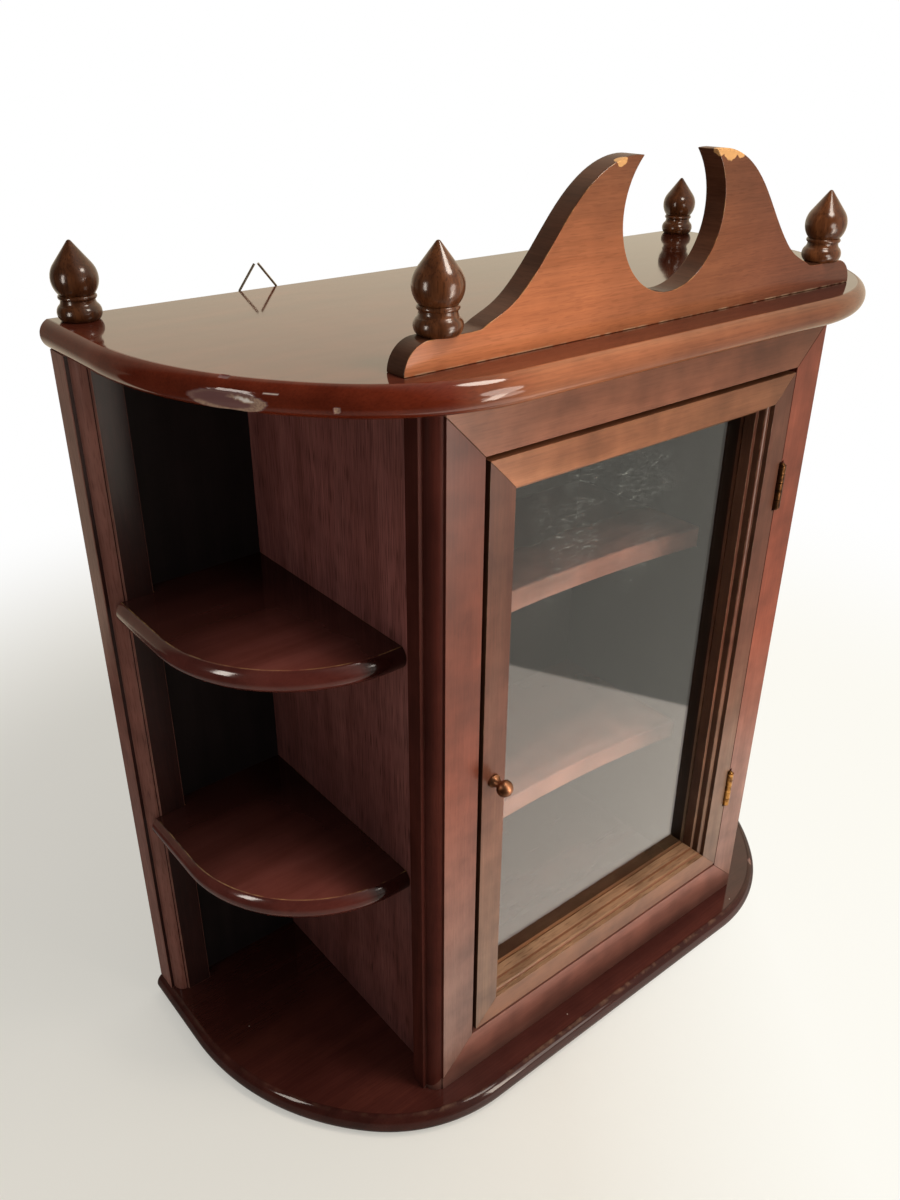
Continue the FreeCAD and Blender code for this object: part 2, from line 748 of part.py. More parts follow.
def doorKnob():
    # Turned knob: stepped foot, slim neck, round head with a flattened front.
    L = knobLength
    r = knobHeadRadius
    neck = knobNeckRadius
    neckOut = L * 0.4
    wideOut = L * 0.68

    def at(radius, out):
        return vec(radius, -out, 0)

    # The head swells from the neck to its widest place, and a round cap closes it.
    swell = ((r - neck) ** 2 + (wideOut - neckOut) ** 2) / (2 * (r - neck))
    half = math.atan2(wideOut - neckOut, swell - (r - neck)) / 2
    swellMid = at(r - swell + swell * math.cos(half), wideOut - swell * math.sin(half))
    cap = ((L - wideOut) ** 2 + r ** 2) / (2 * (L - wideOut))
    half = math.atan2(r, wideOut - L + cap) / 2
    capMid = at(cap * math.sin(half), L - cap + cap * math.cos(half))
    edges = polyline([at(0, 0), at(knobFootRadius, 0), at(knobFootRadius, L * 0.08)])
    edges += [Part.Arc(at(knobFootRadius, L * 0.08), at(neck * 1.25, L * 0.2), at(neck, neckOut)).toShape(),
              Part.Arc(at(neck, neckOut), swellMid, at(r, wideOut)).toShape(),
              Part.Arc(at(r, wideOut), capMid, at(0, L)).toShape(),
              Part.makeLine(at(0, L), at(0, 0))]
    knob = Part.Face(Part.Wire(edges)).revolve(vec(0, 0, 0), vec(0, 1, 0), 360)
    knob.translate(vec(knobX, doorY, knobZ))
    return knob.cut(knobScrew(screwClearance))


def knuckles(z0):
    # Five barrel sections in turn: even ones on the frame leaf, odd ones on the door leaf.
    length = (hingeLength - (knuckleCount - 1) * knuckleGap) / knuckleCount
    return [(z0 + i * (length + knuckleGap), z0 + i * (length + knuckleGap) + length)
            for i in range(knuckleCount)]


def leafScrews(side, z0, clearance):
    # Countersunk screws through one leaf into the wood; side is +1 for the frame, -1 for the door.
    screws = []
    face = hingeX + side * leafGap / 2
    y = hingeY + barrelRadius + (leafWidth - barrelRadius) * 0.52
    for part in (0.24, 0.76):
        z = z0 + hingeLength * part
        start = vec(face, y, z)
        end = vec(face + side * hingeScrewLength, y, z)
        cone = Part.makeCone(hingeScrewHead + clearance, hingeScrewRadius + clearance, leafThickness,
                             start, vec(side, 0, 0))
        screws.append(cone.fuse(rod(hingeScrewRadius + clearance, start, end)).removeSplitter())
    return screws


def hingeLeaf(side, z0):
    x0, x1 = sorted((hingeX + side * leafGap / 2, hingeX + side * (leafGap / 2 + leafThickness)))
    clear = hingeY + barrelRadius + knuckleRelief
    leaf = box(x0, x1, clear, hingeY + leafWidth, z0, z0 + hingeLength)
    mine = [k for i, k in enumerate(knuckles(z0)) if (i % 2 == 0) == (side > 0)]
    for low, high in mine:
        barrel = rod(barrelRadius, vec(hingeX, hingeY, low), vec(hingeX, hingeY, high))
        web = box(x0, x1, hingeY, clear + 0.5, low, high)
        leaf = leaf.fuse(barrel).fuse(web)
    bore = rod(hingePinRadius + pinClearance, vec(hingeX, hingeY, z0 - 1),
               vec(hingeX, hingeY, z0 + hingeLength + 1))
    leaf = leaf.cut(bore)
    for screw in leafScrews(side, z0, screwClearance):
        leaf = leaf.cut(screw)
    return leaf.removeSplitter()


def hingePin(z0):
    # Pin with a small domed tip at each end.
    z1 = z0 + hingeLength
    pin = rod(hingePinRadius, vec(hingeX, hingeY, z0 - 0.2), vec(hingeX, hingeY, z1 + 0.2))
    r = barrelRadius * 0.72
    cap = Part.makeSphere(r, vec(0, 0, 0), vec(0, 0, 1), 0, 90, 360)
    upper = cap.copy()
    upper.translate(vec(hingeX, hingeY, z1 + 0.1))
    cap.rotate(vec(0, 0, 0), vec(1, 0, 0), 180)
    cap.translate(vec(hingeX, hingeY, z0 - 0.1))
    return pin.fuse(upper).fuse(cap).removeSplitter()


def hingeMortise(side, z0):
    # What is cut from the wood: a pocket for the leaf and room for the barrel.
    outer = hingeX + side * (leafGap / 2 + leafThickness)
    x0, x1 = sorted((hingeX, outer))
    pocket = box(x0, x1, hingeY, hingeY + leafWidth, z0, z0 + hingeLength)
    end = 0.4 + barrelRadius * 0.72
    room = rod(barrelRadius + knuckleRelief, vec(hingeX, hingeY, z0 - end),
               vec(hingeX, hingeY, z0 + hingeLength + end))
    return pocket.fuse(room)


def catchScrews(clearance):
    screws = []
    y = catchY + catchDepth / 2
    for offset in (-catchHeight * 0.36, catchHeight * 0.36):
        start = vec(-sideInnerX + catchPlate, y, knobZ + offset)
        end = start - vec(catchPlate + catchScrewLength, 0, 0)
        head = Part.makeCylinder(catchScrewHead, catchScrewHeadHeight, start, vec(1, 0, 0))
        screws.append((rod(catchScrewRadius + clearance, start, end), head))
    return screws


def catchBody():
    # Foot plate on the side panel and a magnet block that reaches behind the door.
    x0 = -sideInnerX
    x1 = doorLeft + catchOverlap
    y1 = catchY + catchDepth
    plateHalf = catchHeight / 2
    blockHalf = catchHeight * 0.24
    plate = box(x0, x0 + catchPlate, catchY, y1, knobZ - plateHalf, knobZ + plateHalf)
    block = box(x0, x1, catchY, y1, knobZ - blockHalf, knobZ + blockHalf)
    block = block.makeFillet(catchRound, [e for e in block.Edges if abs(e.BoundBox.XMin - x1) < 0.01])
    body = plate.fuse(block).removeSplitter()
    for shank, head in catchScrews(screwClearance):
        body = body.cut(shank)
    return body


def strikeScrews(clearance):
    # The two small screws of the strike plate, above and below the knob's own screw.
    screws = []
    x = doorLeft + strikeInset + strikeWidth / 2
    for offset in (-strikeHeight * 0.34, strikeHeight * 0.34):
        spot = vec(x, doorBackY + strikeThickness, knobZ + offset)
        cone = Part.makeCone(strikeScrewHead + clearance, strikeScrewRadius + clearance, strikeThickness,
                             spot, vec(0, -1, 0))
        shank = rod(strikeScrewRadius + clearance, spot, spot - vec(0, strikeScrewLength, 0))
        screws.append(cone.fuse(shank).removeSplitter())
    return screws


def catchStrike():
    x0 = doorLeft + strikeInset
    half = strikeHeight / 2
    strike = box(x0, x0 + strikeWidth, doorBackY, doorBackY + strikeThickness, knobZ - half, knobZ + half)
    return strike.cut(group(strikeScrews(screwClearance)))


def backBrads():
    # Brads through the back panel into the rear edges of the inner shelves.
    brads = []
    for top in innerShelfTops().values():
        for x in (-sideInnerX * 0.6, 0, sideInnerX * 0.6):
            z = top - innerShelfThickness / 2
            start = vec(x, backPanelY + backThickness, z)
            shank = rod(bradRadius, start, start - vec(0, bradLength, 0))
            head = Part.makeCylinder(bradHead, bradHeadHeight, start, vec(0, 1, 0))
            brads.append(shank.fuse(head).removeSplitter())
    return brads


def main():
    os.makedirs("parts", exist_ok=True)
    save(bottomBoard(), "bottom_board")
    save(topBoard(), "top_board")
    save(group(baseScrews(0)), "base_screws")
    save(group(topDowels(0)), "top_dowels")

    post = backPost()
    save(post, "back_post_left")
    save(mirrored(post), "back_post_right")
    panel = backPanel()
    brads = backBrads()
    for brad in brads:
        panel = panel.cut(brad)
    save(panel, "back_panel")
    save(group(brads), "back_brads")

    side, catch = sidePanel()
    save(mirrored(side), "side_panel_right")
    for shank, head in catch:
        side = side.cut(shank)
    save(side, "side_panel_left")
    brads = quarterBrads()
    save(group(brads + [mirrored(b) for b in brads]), "shelf_brads")

    stileLeft, stileRight, railTop, railBottom = framePieces()
    for z0 in hingeStarts.values():
        stileRight = stileRight.cut(hingeMortise(1, z0))
        for screw in leafScrews(1, z0, screwClearance):
            stileRight = stileRight.cut(screw)
    save(stileLeft, "frame_stile_left")
    save(stileRight, "frame_stile_right")
    save(railTop, "frame_rail_top")
    save(railBottom, "frame_rail_bottom")

    backHoles = backBrads()
    for name, top in innerShelfTops().items():
        shelf = innerShelf(top)
        for brad in backHoles:
            shelf = shelf.cut(brad)
        save(shelf, "inner_shelf_" + name)
    for name, top in quarterTops().items():
        shelf = quarterShelf(top)
        save(shelf, "quarter_shelf_left_" + name)
        save(mirrored(shelf), "quarter_shelf_right_" + name)

    save(pedimentBoard(), "pediment")
    save(group(pedimentDowels(0)), "pediment_dowels")
    for node, spot in finialSpots().items():
        save(finial(spot), node)

    screws = []
    for name, x in (("left", -hangerX), ("right", hangerX)):
        save(hangerStrap(x), "hanger_strap_" + name)
        save(hangerRing(x), "hanger_ring_" + name)
        shank, head = hangerScrew(x, 0)
        screws.append(shank.fuse(head).removeSplitter())
    save(group(screws), "hanger_screws")

    left, right, top, bottom = doorFrame()
    left = left.cut(knobScrew(screwClearance)).cut(group(strikeScrews(screwClearance)))
    for z0 in hingeStarts.values():
        right = right.cut(hingeMortise(-1, z0))
        for screw in leafScrews(-1, z0, screwClearance):
            right = right.cut(screw)
    save(left, "door_stile_left")
    save(right, "door_stile_right")
    save(top, "door_rail_top")
    save(bottom, "door_rail_bottom")
    save(doorGlass(), "door_glass")
    for node, strip in glassStops().items():
        save(strip, node)
    save(doorKnob(), "door_knob")
    save(knobScrew(0), "knob_screw")

    frameScrews = []
    doorScrews = []
    for name, z0 in hingeStarts.items():
        save(hingeLeaf(1, z0), "hinge_frame_leaf_" + name)
        save(hingeLeaf(-1, z0), "hinge_door_leaf_" + name)
        save(hingePin(z0), "hinge_pin_" + name)
        frameScrews += leafScrews(1, z0, 0)
        doorScrews += leafScrews(-1, z0, 0)
    save(group(frameScrews), "hinge_frame_screws")
    save(group(doorScrews), "hinge_door_screws")

    save(catchBody(), "catch_body")
    save(catchStrike(), "catch_strike")
    save(group([shank.fuse(head).removeSplitter() for shank, head in catchScrews(0)]), "catch_screws")
    save(group(strikeScrews(0)), "strike_screws")


main()
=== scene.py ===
import math

import bmesh
import bpy
import numpy as np
from mathutils import Matrix, Vector


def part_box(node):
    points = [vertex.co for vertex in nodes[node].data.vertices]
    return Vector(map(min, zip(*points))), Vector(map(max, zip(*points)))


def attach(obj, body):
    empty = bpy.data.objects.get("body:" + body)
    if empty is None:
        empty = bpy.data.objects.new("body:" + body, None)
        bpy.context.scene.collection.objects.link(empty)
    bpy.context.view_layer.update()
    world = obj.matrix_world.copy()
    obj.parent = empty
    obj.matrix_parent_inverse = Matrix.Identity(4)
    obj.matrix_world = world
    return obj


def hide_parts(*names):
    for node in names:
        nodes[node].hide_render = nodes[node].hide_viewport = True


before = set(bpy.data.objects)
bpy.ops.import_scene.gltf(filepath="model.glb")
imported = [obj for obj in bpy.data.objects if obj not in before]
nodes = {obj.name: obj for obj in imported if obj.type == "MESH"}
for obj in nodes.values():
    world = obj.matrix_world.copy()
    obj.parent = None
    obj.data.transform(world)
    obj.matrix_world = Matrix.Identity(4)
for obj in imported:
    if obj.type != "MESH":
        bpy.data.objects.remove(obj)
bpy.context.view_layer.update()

mm = 0.001
scene = bpy.context.scene
scene.view_settings.view_transform = "Standard"
print("frame loaded:", len(nodes), "nodes")


def addNode(tree, kind, inputs=(), **settings):
    # One node: settings are its own properties, inputs are values or sockets to link, by name or in order.
    node = tree.nodes.new(kind)
    for key, value in settings.items():
        setattr(node, key, value)
    for key, value in inputs.items() if isinstance(inputs, dict) else enumerate(inputs):
        if isinstance(value, bpy.types.NodeSocket):
            tree.links.new(value, node.inputs[key])
        else:
            node.inputs[key].default_value = value
    return node


def linear(code):
    # sRGB hex to linear light, with alpha 1.
    parts = [int(code[i:i + 2], 16) / 255 for i in (1, 3, 5)]
    return tuple(c / 12.92 if c <= 0.04045 else ((c + 0.055) / 1.055) ** 2.4 for c in parts) + (1.0,)


def newTree(name):
    # A material with an empty node tree.
    material = bpy.data.materials.new(name)
    material.use_nodes = True
    material.node_tree.nodes.clear()
    return material, material.node_tree


camera = {
    "place": (-0.36560211, -0.36981096, 0.52567286),
    "right": (0.77378707, -0.63341398, 0.00634803),
    "down": (-0.29529286, -0.36956343, -0.88103632),
    "ahead": (0.56040672, 0.67985999, -0.47300603),
    "lens": 30.815,             # mm
    "sensor": 36.0,             # mm, height of the picture on the sensor
    "clip": (0.01, 50.0),       # m
}


def placeCamera():
    # The columns of the camera's turn are its directions to the right, up and back.
    data = bpy.data.cameras.new("photo_camera")
    data.sensor_fit = "VERTICAL"
    data.sensor_height = data.sensor_width = camera["sensor"]
    data.lens = camera["lens"]
    data.clip_start, data.clip_end = camera["clip"]
    eye = bpy.data.objects.new("photo_camera", data)
    scene.collection.objects.link(eye)
    columns = [Vector(camera["right"]), -Vector(camera["down"]), -Vector(camera["ahead"])]
    turn = Matrix(columns).transposed().to_4x4()
    eye.matrix_world = Matrix.Translation(camera["place"]) @ turn
    scene.camera = eye


placeCamera()
print("camera placed")

studio = {
    "floor": "#EEEBE2",
    "floorDrop": 0.0002,                # m under the part's foot
    "reach": 4.0,                       # half the floor's side, m
    "white": "#FFFFFF",
    "nearWhite": "#FEFCF4",             # the paint under plain light, close by
    # Painted light: the camera sees more plain white on the floor close by, towards the right front.
    "pale": (1.0, -0.8, 0.02, 0.22),    # the floor close by pales along ax + by, between these two values
    "paleLow": 0.38,                    # share of plain white that the camera sees at the dull end
    "paleHigh": 0.96,                   # and at the pale end
    "fade": (0.40, 0.85),               # distances between which the floor turns to plain white
    "edge": (1.0, -0.506, 0.409),       # the floor's right-hand edge in reflections: ax + by = c
    "edgeSoft": 0.004,
    "wallLine": (0.59, 0.81, 0.22),     # where a pale wall stands in reflections: ax + by = c
    "near": (0.55, 0.36),               # reflections: only the room past the first distance, then more floor
    "nearShare": 0.55,                  # and this much of it from the second distance inwards
    "litFront": (-0.085, -0.12),        # the lit part of the floor starts here, in Y
    "litSide": (1.0, 0.9, -0.265, -0.205),   # and ax + by passes between the last two values
    "sheen": 2.05,                      # how bright the painted glow of the floor in front lies in glass and lacquer
    "sheenTint": "#F3E6DA",
    "wall": "#FFEFD2",
    "wallLevel": (0.35, 1.1),           # its light at the far left and straight behind
    "wallGlow": (-0.9, -0.2),           # where these two lie on the floor, in X
    "skyGlow": (-0.45, 0.15),           # and by direction
    "skyWall": (0.05, 0.3),             # directions between which the wall begins
    "roomLeft": "#2C2C2A",              # reflections to the left front
    "roomRight": "#D2CCC2",             # and to the right front
    "roomTurn": (-0.3, 0.3),            # one becomes the other between these, in X
    "fill": "#F4F2F0",
    "fillLevel": (0.22, 0.62),          # fill from the horizon and from overhead
    "fillRise": (0.0, 0.9),             # the heights at which these two hold
    "lamps": [
        # name, place, aim, size (or width and height), watts, colour; a card is seen by shiny surfaces alone
        ("top_lamp", (0.04, -0.265, 0.764), (0.0, -0.02, 0.25), 0.16, 1.3, "#FFF4E6"),
        ("front_lamp", (0.03, -0.40, 0.41), (0.0, 0.0, 0.3), 0.17, 0.62, "#FFF4E8"),
        ("low_lamp", (0.14, -0.55, 0.18), (0.0, 0.0, 0.2), 0.25, 0.75, "#FFF4E8"),
        ("left_card", (-0.66, -0.03, 0.45), (0.0, 0.0, 0.3), (0.10, 0.26), 1.1, "#FFF6EA"),
        ("right_card", (0.08, -0.52, 0.17), (0.0, 0.0, 0.22), (0.08, 0.26), 0.8, "#FFF0DE"),
    ],
}


def makeFloor():
    # A flat sheet. The camera sees it fade to white, paler towards the right front by painted light; mirrors see
    # painted glows on it: a lit patch in front, a wall behind and a room beyond.
    far, level = studio["reach"], -studio["floorDrop"]
    mesh = bpy.data.meshes.new("floor")
    mesh.from_pydata([(-far, -far, level), (far, -far, level), (far, far, level), (-far, far, level)], [],
                     [(0, 1, 2, 3)])
    floor = bpy.data.objects.new("floor", mesh)
    scene.collection.objects.link(floor)
    material, tree = newTree("matt_table_paint")
    path = addNode(tree, "ShaderNodeLightPath").outputs
    where = addNode(tree, "ShaderNodeTexCoord").outputs["Object"]
    axes = addNode(tree, "ShaderNodeSeparateXYZ", (where,)).outputs
    away = addNode(tree, "ShaderNodeVectorMath", (where,), operation="LENGTH").outputs["Value"]
    sides = {}
    for title in ("pale", "edge", "wallLine", "litSide"):
        sides[title] = addNode(tree, "ShaderNodeVectorMath", (where, studio[title][:2] + (0.0,)),
                               operation="DOT_PRODUCT").outputs["Value"]
    pale = addNode(tree, "ShaderNodeMapRange", (sides["pale"], *studio["pale"][2:], studio["paleLow"],
                                                studio["paleHigh"])).outputs[0]
    edge, wallFoot, soft = studio["edge"][2], studio["wallLine"][2], studio["edgeSoft"]
    # Smooth steps: value, where it starts and ends, and the result at each end where that isn't 0 and 1.
    steps = {}
    for title, *row in (
            ("faded", away, *studio["fade"], pale),
            ("far", away, *studio["fade"]),
            ("off", sides["edge"], edge - soft, edge + soft),
            ("wall", sides["wallLine"], wallFoot - soft, wallFoot + soft),
            ("right", axes["X"], *studio["roomTurn"]),
            ("near", away, *studio["near"], 0.0, studio["nearShare"]),
            ("front", axes["Y"], *studio["litFront"]),
            ("litSide", sides["litSide"], *studio["litSide"][2:]),
            ("wallLight", axes["X"], *studio["wallGlow"], *studio["wallLevel"])):
        steps[title] = addNode(tree, "ShaderNodeMapRange", row, interpolation_type="SMOOTHSTEP").outputs[0]
    seen = addNode(tree, "ShaderNodeMath", (path["Is Camera Ray"], path["Is Transmission Ray"]),
                   operation="MAXIMUM").outputs[0]
    white, lit = (addNode(tree, "ShaderNodeMath", pair, operation="MULTIPLY").outputs[0]
                  for pair in ((steps["faded"], seen), (steps["front"], steps["litSide"])))
    matt = addNode(tree, "ShaderNodeBsdfDiffuse", {"Color": linear(studio["floor"])}).outputs[0]
    paper = addNode(tree, "ShaderNodeMix", {0: steps["far"], 6: linear(studio["nearWhite"]),
                                            7: linear(studio["white"])}, data_type="RGBA").outputs[2]
    glows = {}
    for title, colour, strength in (
            ("white", paper, 1.0), ("left", linear(studio["roomLeft"]), 1.0),
            ("right", linear(studio["roomRight"]), 1.0), ("sheen", linear(studio["sheenTint"]), studio["sheen"]),
            ("wall", linear(studio["wall"]), steps["wallLight"])):
        glows[title] = addNode(tree, "ShaderNodeEmission", {"Color": colour, "Strength": strength}).outputs[0]
    plain = addNode(tree, "ShaderNodeMixShader", (white, matt, glows["white"])).outputs[0]
    room = addNode(tree, "ShaderNodeMixShader", (steps["right"], glows["left"], glows["right"])).outputs[0]
    mirrored = room
    for share, above in ((steps["near"], matt), (lit, glows["sheen"]), (steps["off"], room),
                         (steps["wall"], glows["wall"])):
        mirrored = addNode(tree, "ShaderNodeMixShader", (share, mirrored, above)).outputs[0]
    surface = addNode(tree, "ShaderNodeMixShader", (path["Is Glossy Ray"], plain, mirrored)).outputs[0]
    addNode(tree, "ShaderNodeOutputMaterial", {"Surface": surface})
    mesh.materials.append(material)


def makeWorld():
    # White to the camera. Reflections see a pale wall behind, a dim room to the left front, a lighter one to the
    # right front. The fill light is stronger from overhead than from the sides.
    world = bpy.data.worlds.new("studio")
    scene.world = world
    world.use_nodes = True
    tree = world.node_tree
    tree.nodes.clear()
    path = addNode(tree, "ShaderNodeLightPath").outputs
    where = addNode(tree, "ShaderNodeTexCoord").outputs["Generated"]
    axes = addNode(tree, "ShaderNodeSeparateXYZ", (where,)).outputs
    facing = addNode(tree, "ShaderNodeVectorMath", (where, studio["wallLine"][:2] + (0.0,)),
                     operation="DOT_PRODUCT").outputs["Value"]
    steps = {}
    for title, *row in (("right", axes["X"], *studio["roomTurn"]), ("wall", facing, *studio["skyWall"]),
                        ("wallLight", axes["X"], *studio["skyGlow"], *studio["wallLevel"]),
                        ("fill", axes["Z"], *studio["fillRise"], *studio["fillLevel"])):
        steps[title] = addNode(tree, "ShaderNodeMapRange", row, interpolation_type="SMOOTHSTEP").outputs[0]
    seen = addNode(tree, "ShaderNodeMath", (path["Is Camera Ray"], path["Is Transmission Ray"]),
                   operation="MAXIMUM").outputs[0]
    glows = {}
    for title, code, strength in (
            ("white", studio["white"], 1.0), ("left", studio["roomLeft"], 1.0), ("right", studio["roomRight"], 1.0),
            ("wall", studio["wall"], steps["wallLight"]), ("fill", studio["fill"], steps["fill"])):
        glows[title] = addNode(tree, "ShaderNodeBackground", {"Color": linear(code), "Strength": strength}).outputs[0]
    light = glows["left"]
    for share, below, above in ((steps["right"], None, glows["right"]), (steps["wall"], None, glows["wall"]),
                                (path["Is Glossy Ray"], glows["fill"], None), (seen, None, glows["white"])):
        light = addNode(tree, "ShaderNodeMixShader", (share, below or light, above or light)).outputs[0]
    addNode(tree, "ShaderNodeOutputWorld", {"Surface": light})


def makeLamps():
    # Round lamps and oblong cards, each turned to its aim.
    for name, place, aim, size, watts, colour in studio["lamps"]:
        data = bpy.data.lights.new(name, "AREA")
        card = name.endswith("_card")
        data.shape = "RECTANGLE" if card else "DISK"
        data.size, data.size_y = size if card else (size, size)
        data.energy = watts
        data.color = linear(colour)[:3]
        lamp = bpy.data.objects.new(name, data)
        scene.collection.objects.link(lamp)
        lamp.location = place
        lamp.visible_camera = False
        lamp.visible_diffuse = not card
        lamp.rotation_mode = "QUATERNION"
        lamp.rotation_quaternion = (Vector(aim) - Vector(place)).to_track_quat("-Z", "Y")


makeFloor()
makeWorld()
makeLamps()
print("studio ready")

# What every lacquered wood starts from. Sizes of patterns are in mm, long along the grain and wide across it.
plainLook = {
    "shift": (0, 0, 0),                         # moves the pattern, so that pieces differ
    "figureLong": 150, "figureWide": 14,
    "fibreLong": 45, "fibreWide": 0.9,          # fibres are about 0.3 mm apart; drawn coarser so that they show
    "poreLong": 7, "poreWide": 0.6,             # coarser than real pores, so that they show
    "waveLong": 26, "waveWide": 11,             # ripple of the lacquer
    "blotchSize": 20, "patchSize": 7, "gritSize": 0.9, "speckCell": 9,
    "spread": (0.3, 0.7),                       # most of a noise lies between these
    "figureStops": ((0.3, "dark"), (0.5, "mid"), (0.72, "light")),
    "poreSpan": (0.58, 0.72),                   # the noise at which a pore starts and is full
    "poreBump": 0.15, "poreDepth": 0.15,        # strength, and depth in mm
    "fibre": 0.1, "pores": 0.28, "mottle": 0.1,     # strength of fibres, pores and stain blotches
    "rawBands": (0.78, 1.15),                   # tone of the figure where the wood isn't stained
    "worn": True,                               # for pieces that carry the attributes wear and chip
    "wear": 0.5, "rubFrom": 0.46, "rubTo": 0.66,    # rubbed arrises: strength, and the patches that are rubbed
    # The last colour is a painted white highlight on chips.
    "chip": "#7A5654", "knocked": "#B99A84", "paintedGlint": "#F3E9E2",
    "knockedGrit": (0.35, 0.6, 0.45),           # grit of bare wood: noise from, to, and the least share
    "spotRagged": 1.2, "spotRim": (0.42, 0.3),  # knocked-off spots, as shares of their radius
    "footLine": "#C9B08E", "footReach": (0.9, 0.3),     # dust at the foot: its upper edge in mm
    "footGaps": (0.42, 0.62, 0.0, 0.75),        # and where it is broken
    "speck": "#B9ADA0", "speckSpan": (0.05, 0.03), "speckless": 0.64,   # size in its cell, share of empty cells
    "coat": 1.0, "coatRough": 0.07, "ripple": 0.05, "rippleDepth": 0.6,     # depth in mm
    "flakedDull": 0.9, "wornCoat": 0.2,         # how dull a chip is, and the share of lacquer left on bare wood
    "tones": [], "bareSpots": [], "dust": False,
}


